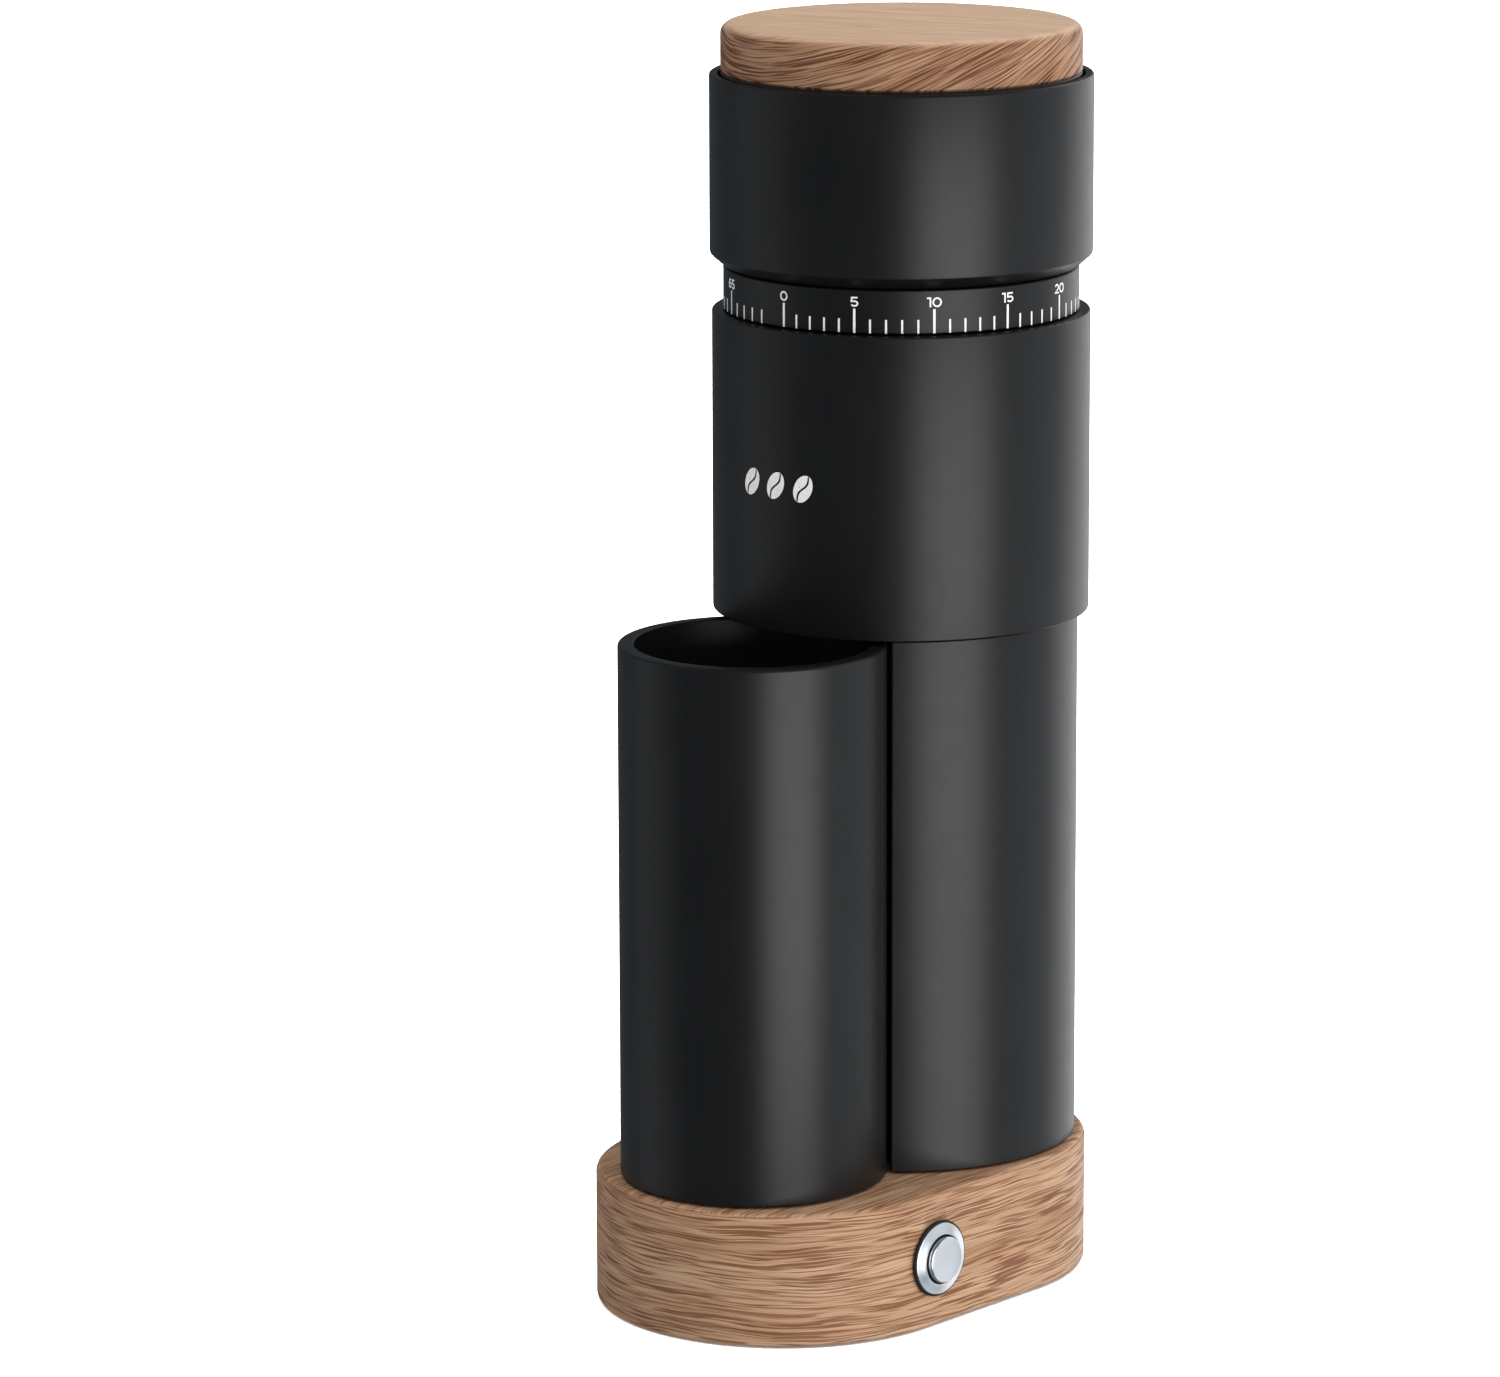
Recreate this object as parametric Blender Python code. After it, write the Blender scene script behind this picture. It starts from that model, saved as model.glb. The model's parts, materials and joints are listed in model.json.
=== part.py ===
"""Burr coffee grinder: a tower with a conical burr set, a bean hopper on top and a cup beside it.

Frame: origin on the burr axis at the surface the grinder stands on, +Z up. The cup stands at -X,
the push button is on the -Y side and the charging port is at +X. Sizes are in millimetres.
"""

import math

import bmesh
import bpy
from mathutils import Vector

MM = 0.001
GAP = 0.3  # between two pieces that touch
ROUND = 48  # sides of a large round piece
MIDDLING = 32  # sides of a round piece in the drive train
SMALL = 16  # sides of a small round piece
TINY = 8  # sides of a screw

# Screws
SCREW_HEAD_R = 2.5
SHANK_R = 1.4
SCREW_HOLE_R = 1.7
SMALL_SHANK_R = 0.9
COVER_SCREW_HOLE_R = 1.2
COVER_SCREW_END = 10.0
SPRING_WIRE_R = 0.2

# Driving dimensions
HEAD_R = 35.0
HOPPER_R = 35.4
DIAL_R = 32.9
TOWER_R = 33.05
CUP_R = 24.6
CUP_X = -41.4
LID_R = 33.3
BASE_R = 34.9
BASE_FAR_X = -33.0
BASE_TOP = 25.1
CUP_TOP = 125.1
HEAD_BOTTOM = 125.9
HEAD_TOP = 181.8
DIAL_TOP = 190.35
HOPPER_CHAMFER_TOP = 192.5
HOPPER_TOP = 225.6
LID_TOP = 234.8

# Base
BASE_WALL = 3.8
BASE_CEILING = BASE_TOP - 3.0
BASE_BOTTOM = 0.5
BASE_EDGE = 1.0
PAD_TOP = 1.0
COVER_BOTTOM = PAD_TOP + GAP
COVER_TOP = 3.1
COVER_COUNTERBORE = 2.4
COVER_SCREWS = ((20.3, 17.0), (20.3, -17.0), (-59.5, 0.0))
BOSS_R = 3.2

# Battery, board and charging port
CELL_R = 9.2
CELL_ENDS_X = (-48.8, 16.2)
CELLS_Y = (-1.6, 17.2)
CELL_Z = 12.65
BOARD_SIZE = (34.0, 13.0)
BOARD_CENTRE = (-3.0, -20.0)
BOARD_BOTTOM = 5.0
BOARD_TOP = 6.6
PORT_Z = 8.0
PORT_SIZE = (3.2, 9.0)
PORT_WALL = 0.3
PORT_DEPTH = 7.4
PORT_SOCKET_DEPTH = 6.0
PORT_RECESS = 0.6
PORT_SLOT = (4.0, 9.8)
CABLE_R = 1.3
CABLE_HOLE_R = 2.6
CABLE_XY = (20.0, -1.0)

# Button, on the flat -Y side of the base. Its heights run outwards from that side.
BUTTON_X = -30.0
BUTTON_Z = 13.0
BUTTON_HOLE_R = 6.1
BUTTON_SIDES = 24
BEZEL_R = 6.6
BEZEL_LIP = 1.5
BARREL_R = 5.8
BARREL_END = -9.0
WELL_R = 4.6
WELL_END = -6.0
CAP_R = 4.3
CAP_FACE = 2.4
CAP_BACK = -3.0
NUT_APOTHEM = 7.0
NUT_ENDS = (-6.8, -4.8)
SWITCH_R = 5.5
SWITCH_END = -17.0

# Cup and its pair of magnets
CUP_WALL = 3.0
CUP_FLOOR = 4.0
CUP_RIM = 1.0
MAGNET_R = 5.0
MAGNET_HEIGHT = 2.1
MAGNET_XY = (CUP_X, -18.0)

# The tower is a round tube with a round notch that clears the cup
TOWER_WALL = 2.0
TOWER_NOTCH_R = 25.3
TOWER_BOTTOM = BASE_TOP + GAP
TOWER_TOP = HEAD_BOTTOM - GAP
TOWER_FOOT_TOP = TOWER_BOTTOM + 4.0
TOWER_CAP_BOTTOM = TOWER_TOP - 3.6
TOWER_SCREWS = ((24.0, 7.0), (0.0, -22.0))

# Motor
MOTOR_R = 13.0
MOTOR_BOTTOM = 62.0
CAN_BOTTOM = 66.0
CAN_TOP = 98.0
CAN_WALL = 1.0
CAN_ROOF = 1.5
MOTOR_BORE_R = 2.4
ARMATURE_R = 8.8
MOTOR_SHAFT_R = 1.9
PINION_SHAFT_R = 1.2
MOTOR_MAGNET_R = (9.3, 11.7)

# Gearbox
GEARBOX_R = 13.6
GEARBOX_BOTTOM = CAN_TOP + GAP
GEARBOX_TOP = 117.5
GEARBOX_COVER_TOP = TOWER_CAP_BOTTOM - GAP
GEAR_BOTTOM = 102.0
GEAR_TOP = 109.0
CARRIER_R = 10.8
CARRIER_BOTTOM = 109.8
CARRIER_TOP = 112.8
PLANET_PIN_R = 1.55
SHAFT_R = 3.0
SHAFT_BORE_R = SHAFT_R + 0.1
BEARING_R = 7.0

# Gears
MODULE = 0.5
SUN_TEETH = 12
PLANET_TEETH = 18
RING_TEETH = 48
PLANETS = 3
PLANET_ORBIT = MODULE * (SUN_TEETH + PLANET_TEETH) / 2

# Head
HEAD_WALL = 2.2
HEAD_FLOOR = HEAD_BOTTOM + 3.0
HEAD_EDGE = 0.5
HEAD_BORE_R = 7.5
HEAD_SCREWS = ((14.0, 22.5), (14.0, -22.5))
CHUTE_SIZE = (9.0, 14.0)
CHUTE_CENTRE = (-26.5, 0.0)
GUIDE_R = (28.9, 32.5)
GUIDE_BOTTOM = 172.5
DETENT_XY = (30.8, 0.0)
DETENT_BALL_R = 1.1

# Burrs
BURR_BLADES = 8
BLADE_SIDES = 6
BURR_BOTTOM = 135.0
BURR_TOP = 158.0
BURR_BASE_R = 17.0
BURR_TAPER = 9.6
BURR_TWIST = 55.0
RING_BURR_R = 25.0
RING_BURR_TEETH = 24
RING_BURR_BORE = (18.4, 22.0)
RING_BURR_BOTTOM = 136.3
RING_BURR_TOP = 152.0
RING_BURR_SLANT = 10.0
BURR_SCREWS = ((0.0, 23.1), (0.0, -23.1))
SWEEPER_R = 31.5
SWEEPER_HUB_R = 9.5
SWEEPER_BOTTOM = 129.4
SWEEPER_TOP = 132.0
BOLT_R = 5.0
BOLT_TOP = 163.4
CARRIER_RING_R = 32.3
CARRIER_RING_BOTTOM = 133.7
CARRIER_NECK_R = (25.4, 27.0)
CARRIER_NECK_TOP = 169.0

# Dial, hopper and lid
COLLAR_R = (27.3, 28.6)
COLLAR_BOTTOM = 154.2
HOPPER_WALL = 1.6
HOPPER_BORE_R = 28.0
HOPPER_LEDGE = 2.2
LEDGE_Z = 219.0
FUNNEL_R = 31.3
FUNNEL_BOTTOM = 158.0
FUNNEL_TOP = 205.5
FUNNEL_NECK_R = (21.0, 22.4)
LID_BOTTOM = 224.0
LID_EDGE = 2.4
PLUG_R = LID_R - 0.1
PLUG_GROOVE = (220.6, 222.6)
PLUG_GROOVE_R = LID_R - 1.7

BLACK = (0.018, 0.018, 0.019)
STEEL = (0.55, 0.55, 0.56)
BRASS = (0.62, 0.45, 0.18)


def material(name, colour, roughness, metallic=0.0):
    made = bpy.data.materials.get(name) or bpy.data.materials.new(name)
    made.use_nodes = True
    made.diffuse_color = (*colour, 1.0)
    shader = made.node_tree.nodes["Principled BSDF"]
    shader.inputs["Base Color"].default_value = (*colour, 1.0)
    shader.inputs["Roughness"].default_value = roughness
    shader.inputs["Metallic"].default_value = metallic
    return made


def circle(radius, count=ROUND, centre=(0.0, 0.0)):
    angles = [math.tau * i / count for i in range(count)]
    return [(centre[0] + radius * math.cos(a), centre[1] + radius * math.sin(a)) for a in angles]


def stadium(radius, steps=16):
    """Two half circles, about the burr axis and about BASE_FAR_X, joined by straight sides."""
    points = []
    for centre, start in ((0.0, -math.pi / 2), (BASE_FAR_X, math.pi / 2)):
        for i in range(steps + 1):
            angle = start + math.pi * i / steps
            points.append((centre + radius * math.cos(angle), radius * math.sin(angle)))
    return points


def crescent(radius, notch, steps=30, notch_steps=12):
    """A circle about the burr axis less a circle about the cup's axis."""
    reach = (radius**2 - notch**2 + CUP_X**2) / (2 * abs(CUP_X))
    half = math.acos(-reach / radius)
    notch_half = math.asin(radius * math.sin(half) / notch)
    outside = [half - 2 * half * i / steps for i in range(steps + 1)]
    inside = [-notch_half + 2 * notch_half * i / notch_steps for i in range(1, notch_steps)]
    points = [(radius * math.cos(a), radius * math.sin(a)) for a in outside]
    points += [(CUP_X + notch * math.cos(a), notch * math.sin(a)) for a in inside]
    return points


def rectangle(size_x, size_y, centre=(0.0, 0.0)):
    corners = ((-1, -1), (1, -1), (1, 1), (-1, 1))
    return [(centre[0] + size_x * sx / 2, centre[1] + size_y * sy / 2) for sx, sy in corners]


def radial(outline, radius):
    """A circle whose points lie at the same angles as the outline's."""
    return [(x * radius / math.hypot(x, y), y * radius / math.hypot(x, y)) for x, y in outline]


def at(outline, height):
    return [(x, y, height) for x, y in outline]


def turned(profile, count=ROUND, centre=(0.0, 0.0)):
    """One loop for each (radius, height) of a turned profile."""
    return [at(circle(radius, count, centre), height) for radius, height in profile]


def prism(outline, bottom, top):
    return [at(outline, bottom), at(outline, top)]


def wall(outer, inner, bottom, top):
    return [at(outer, bottom), at(outer, top), at(inner, top), at(inner, bottom)]


def tooth_outline(teeth, tip_side, phase=0.0):
    """Straight-sided teeth, four points each. tip_side is 1 for outward teeth and -1 for inward."""
    pitch_r = MODULE * teeth / 2
    tip_r = pitch_r + tip_side * 0.9 * MODULE
    root_r = pitch_r - tip_side * 1.2 * MODULE
    pitch_half = 0.84 * math.pi / (2 * teeth)
    tip_half = 0.50 * pitch_half
    root_half = (pitch_half - 0.57 * tip_half) / 0.43
    points = []
    for tooth in range(teeth):
        middle = phase + math.tau * tooth / teeth
        corners = ((-root_half, root_r), (-tip_half, tip_r), (tip_half, tip_r), (root_half, root_r))
        for half, radius in corners:
            angle = middle + half
            points.append((radius * math.cos(angle), radius * math.sin(angle)))
    return points


def add_skin(builder, loops, closed):
    rows = [[builder.verts.new([value * MM for value in point]) for point in loop] for loop in loops]
    pairs = list(zip(rows, rows[1:]))
    if closed:
        pairs.append((rows[-1], rows[0]))
    else:
        builder.faces.new(rows[0])
        builder.faces.new(rows[-1])
    for low, high in pairs:
        for i in range(len(low)):
            j = (i + 1) % len(low)
            builder.faces.new((low[i], low[j], high[j], high[i]))


def mesh_object(name, skins):
    """An object made of one skin, or for a cutter of several. A skin is (loops, closed)."""
    builder = bmesh.new()
    for loops, closed in skins:
        add_skin(builder, loops, closed)
    bmesh.ops.recalc_face_normals(builder, faces=builder.faces)
    mesh = bpy.data.meshes.new(name)
    builder.to_mesh(mesh)
    builder.free()
    mesh.shade_smooth()
    mesh.set_sharp_from_angle(angle=math.radians(32))
    made = bpy.data.objects.new(name, mesh)
    bpy.context.scene.collection.objects.link(made)
    return made


def piece(name, loops, look, closed=False, location=(0, 0, 0), rotation=(0, 0, 0)):
    made = mesh_object(name, [(loops, closed)])
    made.data.materials.append(look)
    made.location = Vector(location) * MM
    made.rotation_euler = [math.radians(angle) for angle in rotation]
    return made


def boolean(target, operation, skins, location=(0, 0, 0), rotation=(0, 0, 0)):
    cutter = mesh_object(f"{target.name}_{operation.lower()}_{len(target.modifiers)}", skins)
    cutter.location = Vector(location) * MM
    cutter.rotation_euler = [math.radians(angle) for angle in rotation]
    cutter.hide_render = True
    cutter.display_type = "WIRE"
    modifier = target.modifiers.new(operation.title(), "BOOLEAN")
    modifier.operation = operation
    modifier.solver = "EXACT"
    modifier.object = cutter


def drills(centres, radius, bottom, top, count=TINY):
    return [(turned(((radius, bottom), (radius, top)), count, centre), False) for centre in centres]


def screw(name, centre, head_r, head, shank_r, shank_end):
    """A cap screw along Z. head is its (free face, seat), and the shank runs on to shank_end."""
    free_face, seat = head
    profile = ((head_r, free_face), (head_r, seat), (shank_r, seat), (shank_r, shank_end))
    return piece(name, turned(profile, TINY, centre), STEEL_LOOK)


def spring(name, radius, bottom, top, turns, **place):
    """A helical wire with closed ends, its axis along Z."""
    wire_r = SPRING_WIRE_R
    steps = 8 * turns
    loops = []
    for i in range(steps + 1):
        angle = math.tau * turns * i / steps
        height = bottom + wire_r + (top - bottom - 2 * wire_r) * i / steps
        out = Vector((math.cos(angle), math.sin(angle), 0.0))
        loops.append([out * (radius + u) + Vector((0, 0, height + v)) for u, v in circle(wire_r, 4)])
    return piece(name, loops, STEEL_LOOK, **place)


WOOD_LOOK = material("oak_veneer", (0.46, 0.29, 0.17), 0.5)
COAT_LOOK = material("black_coat", BLACK, 0.45, 0.3)
PLASTIC_LOOK = material("black_plastic", (0.022, 0.022, 0.024), 0.5)
RUBBER_LOOK = material("black_rubber", (0.012, 0.012, 0.012), 0.8)
SILICONE_LOOK = material("clear_silicone", (0.55, 0.55, 0.54), 0.5)
STEEL_LOOK = material("steel", STEEL, 0.28, 1.0)
POLISHED_LOOK = material("polished_steel", (0.72, 0.72, 0.73), 0.12, 1.0)
BRASS_LOOK = material("brass", BRASS, 0.3, 1.0)
BOARD_LOOK = material("circuit_board", (0.02, 0.16, 0.07), 0.4)
CELL_LOOK = material("cell_wrap", (0.05, 0.22, 0.42), 0.35)
MAGNET_LOOK = material("magnet_plating", (0.5, 0.5, 0.5), 0.2, 1.0)
CABLE_LOOK = material("cable_sleeve", (0.35, 0.02, 0.02), 0.5)
GEAR_LOOK = material("sintered_steel", (0.33, 0.33, 0.34), 0.35, 1.0)


def build_base():
    inner_r = BASE_R - BASE_WALL
    shell_loops = [
        at(stadium(inner_r), BASE_CEILING),
        at(stadium(inner_r), BASE_BOTTOM),
        at(stadium(BASE_R - BASE_EDGE / 2), BASE_BOTTOM),
        at(stadium(BASE_R), BASE_BOTTOM + BASE_EDGE / 2),
        at(stadium(BASE_R), BASE_TOP - BASE_EDGE),
        at(stadium(BASE_R - 0.3 * BASE_EDGE), BASE_TOP - 0.3 * BASE_EDGE),
        at(stadium(BASE_R - BASE_EDGE), BASE_TOP),
    ]
    shell = piece("base_shell", shell_loops, WOOD_LOOK)
    boolean(shell, "UNION", drills(COVER_SCREWS, BOSS_R, COVER_TOP + GAP, BASE_CEILING + 1.0))
    through = (BASE_CEILING - 1.0, BASE_TOP + 1.0)
    holes = drills(COVER_SCREWS, COVER_SCREW_HOLE_R, 0.0, COVER_SCREW_END + 2.0)
    holes += drills(TOWER_SCREWS, SCREW_HOLE_R, *through)
    holes += drills([CABLE_XY], CABLE_HOLE_R, *through)
    boolean(shell, "DIFFERENCE", holes)
    button_hole = [(turned(((BUTTON_HOLE_R, -6.0), (BUTTON_HOLE_R, 2.0)), SMALL), False)]
    boolean(shell, "DIFFERENCE", button_hole, (BUTTON_X, -BASE_R, BUTTON_Z), (90, 0, 0))
    port_slot = [(prism(rectangle(*PORT_SLOT), -8.0, 2.0), False)]
    boolean(shell, "DIFFERENCE", port_slot, (BASE_R, 0, PORT_Z), (0, 90, 0))

    cover_r = inner_r - GAP
    cover = piece("bottom_cover", prism(stadium(cover_r), COVER_BOTTOM, COVER_TOP), PLASTIC_LOOK)
    boolean(cover, "DIFFERENCE", drills(COVER_SCREWS, COVER_SCREW_HOLE_R, 0.0, COVER_TOP + 2.0))
    boolean(cover, "DIFFERENCE", drills(COVER_SCREWS, COVER_COUNTERBORE, 0.0, COVER_COUNTERBORE))
    piece("foot_pad", prism(stadium(cover_r), 0.0, PAD_TOP), RUBBER_LOOK)
    for number, centre in enumerate(COVER_SCREWS, 1):
        head = (COVER_BOTTOM, COVER_COUNTERBORE - GAP)
        screw(f"cover_screw_{number}", centre, 2.1, head, SMALL_SHANK_R, COVER_SCREW_END)
    magnet_top = BASE_CEILING - GAP
    magnet = turned(((MAGNET_R, magnet_top - MAGNET_HEIGHT), (MAGNET_R, magnet_top)), SMALL, MAGNET_XY)
    piece("base_magnet", magnet, MAGNET_LOOK)


def build_electrics():
    length = CELL_ENDS_X[1] - CELL_ENDS_X[0]
    cell = ((CELL_R - 1.0, 0.0), (CELL_R, 0.6), (CELL_R, length - 1.2), (CELL_R - 3.0, length - 1.0),
            (CELL_R - 3.5, length))
    for number, centre_y in enumerate(CELLS_Y, 1):
        piece(f"battery_cell_{number}", turned(cell, SMALL), CELL_LOOK,
              location=(CELL_ENDS_X[0], centre_y, CELL_Z), rotation=(0, 90, 0))
    board = prism(rectangle(*BOARD_SIZE, BOARD_CENTRE), BOARD_BOTTOM, BOARD_TOP)
    piece("control_board", board, BOARD_LOOK)
    socket = [size - 2 * PORT_WALL for size in PORT_SIZE]
    shell = [
        at(rectangle(*socket), -PORT_SOCKET_DEPTH),
        at(rectangle(*socket), 0.0),
        at(rectangle(*PORT_SIZE), 0.0),
        at(rectangle(*PORT_SIZE), -PORT_DEPTH),
    ]
    port_place = (BASE_R - PORT_RECESS, 0, PORT_Z)
    piece("charging_port", shell, STEEL_LOOK, location=port_place, rotation=(0, 90, 0))
    piece("motor_cable", cable_loops(), CABLE_LOOK)


def cable_loops():
    """The sleeved cable from the control board up through the base into the tower to the motor."""
    x, y = CABLE_XY
    knots = [(8, -19, 8.3), (13, -16, 9), (x - 1, y - 7, 12), (x, y - 0.5, 17), (x, y, 22),
             (x, y, 32), (x, y, 46), (x - 3, y, 54), (x - 9, y, 59), (x - 11, y, 61)]
    path = []
    for i in range(len(knots) - 1):
        before, start, end, after = (
            Vector(knots[min(max(i + k, 0), len(knots) - 1)]) for k in (-1, 0, 1, 2))
        for step in range(3):
            t = step / 3
            curve = 2 * start + (end - before) * t + (2 * before - 5 * start + 4 * end - after) * t**2
            path.append(0.5 * (curve + (3 * start - before - 3 * end + after) * t**3))
    path.append(Vector(knots[-1]))
    loops = []
    for i, point in enumerate(path):
        along = (path[min(i + 1, len(path) - 1)] - path[max(i - 1, 0)]).normalized()
        side = along.cross(Vector((1.0, 0.0, 0.0))).normalized()
        up = side.cross(along)
        loops.append([point + side * u + up * v for u, v in circle(CABLE_R, 6)])
    return loops


def build_button():
    place = {"location": (BUTTON_X, -BASE_R, BUTTON_Z), "rotation": (90, 0, 0)}
    seal = ((7.3, 0.2), (7.3, 0.6), (7.1, 0.8), (6.9, 0.8), (6.9, 0.2))
    piece("button_seal", turned(seal, BUTTON_SIDES), RUBBER_LOOK, closed=True, **place)
    bezel = ((WELL_R, WELL_END), (WELL_R, BEZEL_LIP), (WELL_R + 0.6, BEZEL_LIP), (BEZEL_R, 0.9),
             (BEZEL_R, GAP), (BARREL_R, GAP), (BARREL_R, BARREL_END))
    piece("button_bezel", turned(bezel, BUTTON_SIDES), POLISHED_LOOK, **place)
    nut_bore = radial(circle(1.0, SMALL), BARREL_R + GAP)
    hexagon = [hexagon_point(point, NUT_APOTHEM) for point in nut_bore]
    piece("button_nut", wall(hexagon, nut_bore, *NUT_ENDS), STEEL_LOOK, closed=True, **place)
    switch = ((SWITCH_R, SWITCH_END), (SWITCH_R, BARREL_END - GAP))
    piece("button_switch", turned(switch, SMALL), PLASTIC_LOOK, **place)
    spring("button_spring", 2.6, WELL_END + GAP, CAP_BACK - GAP, 3, **place)
    cap = ((CAP_R, CAP_BACK), (CAP_R, CAP_FACE - 0.3), (CAP_R - 0.3, CAP_FACE))
    piece("button_cap", turned(cap, BUTTON_SIDES), POLISHED_LOOK, **place)


def hexagon_point(point, apothem):
    """Moves a point on a circle out to a hexagon of that apothem."""
    angle = math.atan2(point[1], point[0])
    within = (angle + math.pi / 6) % (math.pi / 3) - math.pi / 6
    reach = apothem / math.cos(within)
    return (reach * math.cos(angle), reach * math.sin(angle))


def build_tower():
    outer = crescent(TOWER_R, TOWER_NOTCH_R)
    inner = crescent(TOWER_R - TOWER_WALL, TOWER_NOTCH_R + TOWER_WALL)
    piece("tower_tube", wall(outer, inner, TOWER_BOTTOM, TOWER_TOP), COAT_LOOK, closed=True)
    plate = crescent(TOWER_R - TOWER_WALL - GAP, TOWER_NOTCH_R + TOWER_WALL + GAP)
    foot = piece("tower_foot", prism(plate, TOWER_BOTTOM, TOWER_FOOT_TOP), STEEL_LOOK)
    through = (TOWER_BOTTOM - 5.0, TOWER_FOOT_TOP + 10.0)
    foot_holes = drills(TOWER_SCREWS, SCREW_HOLE_R, *through) + drills([CABLE_XY], CABLE_HOLE_R, *through)
    boolean(foot, "DIFFERENCE", foot_holes)
    for number, centre in enumerate(TOWER_SCREWS, 1):
        head = (BASE_CEILING - 2.1, BASE_CEILING - GAP)
        screw(f"tower_screw_{number}", centre, SCREW_HEAD_R, head, SHANK_R, TOWER_FOOT_TOP - 0.4)
    cap = piece("tower_cap", prism(plate, TOWER_CAP_BOTTOM, TOWER_TOP), STEEL_LOOK)
    through = (TOWER_CAP_BOTTOM - 2.0, TOWER_TOP + 4.0)
    cap_holes = drills(HEAD_SCREWS, SCREW_HOLE_R, *through) + drills([(0, 0)], 5.0, *through, SMALL)
    boolean(cap, "DIFFERENCE", cap_holes)


def build_motor():
    end_cap = ((MOTOR_R, MOTOR_BOTTOM), (MOTOR_R, CAN_BOTTOM - GAP), (MOTOR_BORE_R, CAN_BOTTOM - GAP),
               (MOTOR_BORE_R, MOTOR_BOTTOM))
    piece("motor_end_cap", turned(end_cap, MIDDLING), PLASTIC_LOOK, closed=True)
    can = ((MOTOR_R, CAN_BOTTOM), (MOTOR_R, CAN_TOP), (MOTOR_BORE_R, CAN_TOP),
           (MOTOR_BORE_R, CAN_TOP - CAN_ROOF), (MOTOR_R - CAN_WALL, CAN_TOP - CAN_ROOF),
           (MOTOR_R - CAN_WALL, CAN_BOTTOM))
    piece("motor_can", turned(can, MIDDLING), STEEL_LOOK, closed=True)
    magnet_inner, magnet_outer = MOTOR_MAGNET_R
    for name, middle in (("motor_magnet_1", 0.0), ("motor_magnet_2", math.pi)):
        angles = [middle + math.radians(-60 + 15 * i) for i in range(9)]
        outside = [(magnet_outer * math.cos(a), magnet_outer * math.sin(a)) for a in angles]
        inside = [(magnet_inner * math.cos(a), magnet_inner * math.sin(a)) for a in reversed(angles)]
        piece(name, prism(outside + inside, CAN_BOTTOM + 4.0, CAN_TOP - 4.0), MAGNET_LOOK)
    commutator = (CAN_BOTTOM + 2.0, CAN_BOTTOM + 5.0)
    winding_top = CAN_TOP - 5.0
    pinion_bottom = GEAR_BOTTOM - 1.6
    rotor = ((MOTOR_SHAFT_R, MOTOR_BOTTOM - 1.0), (MOTOR_SHAFT_R, commutator[0]), (4.0, commutator[0]),
             (4.0, commutator[1]), (ARMATURE_R, commutator[1]), (ARMATURE_R, winding_top),
             (MOTOR_SHAFT_R, winding_top), (MOTOR_SHAFT_R, pinion_bottom), (PINION_SHAFT_R, pinion_bottom),
             (PINION_SHAFT_R, GEAR_TOP))
    piece("motor_rotor", turned(rotor, SMALL), STEEL_LOOK)


def build_gearbox():
    teeth = tooth_outline(RING_TEETH, -1)
    ring = wall(radial(teeth, GEARBOX_R), teeth, GEARBOX_BOTTOM, GEARBOX_TOP)
    piece("ring_gear", ring, GEAR_LOOK, closed=True)
    sun = tooth_outline(SUN_TEETH, 1)
    sun_loops = wall(sun, radial(sun, PINION_SHAFT_R + GAP), GEAR_BOTTOM, GEAR_TOP)
    piece("sun_gear", sun_loops, BRASS_LOOK, closed=True)
    planet = tooth_outline(PLANET_TEETH, 1, math.pi / PLANET_TEETH)
    planet_loops = wall(planet, radial(planet, 1.6), GEAR_BOTTOM, GEAR_TOP)
    pins = circle(PLANET_ORBIT, PLANETS)
    for number, (x, y) in enumerate(pins):
        piece(f"planet_gear_{number + 1}", planet_loops, GEAR_LOOK, closed=True,
              location=(x, y, 0), rotation=(0, 0, 360 * number / PLANETS))
    disc = turned(((CARRIER_R, CARRIER_BOTTOM), (CARRIER_R, CARRIER_TOP)), MIDDLING)
    carrier = piece("planet_carrier", disc, STEEL_LOOK)
    boolean(carrier, "UNION", drills(pins, PLANET_PIN_R, GEAR_BOTTOM - 0.4, CARRIER_BOTTOM + 1.2, SMALL))
    shaft_clearance = drills([(0, 0)], MOTOR_SHAFT_R, GEAR_BOTTOM + 3.0, CARRIER_BOTTOM + 0.8)
    boolean(carrier, "DIFFERENCE", shaft_clearance)
    bottom, top = GEARBOX_TOP + GAP, GEARBOX_COVER_TOP
    bore_r = BEARING_R + GAP
    cover = ((GEARBOX_R, bottom), (GEARBOX_R, top), (bore_r, top), (bore_r, bottom))
    piece("gearbox_cover", turned(cover, MIDDLING), GEAR_LOOK, closed=True)
    bearing = ((BEARING_R, bottom), (BEARING_R, top), (SHAFT_BORE_R, top), (SHAFT_BORE_R, bottom))
    piece("gearbox_bearing", turned(bearing, SMALL), STEEL_LOOK, closed=True)
    shaft_top = BURR_TOP + 3.0
    shaft = ((SHAFT_R, CARRIER_TOP + GAP), (SHAFT_R, shaft_top - 0.5), (SHAFT_R - 0.4, shaft_top))
    piece("drive_shaft", turned(shaft, SMALL), STEEL_LOOK)


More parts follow.
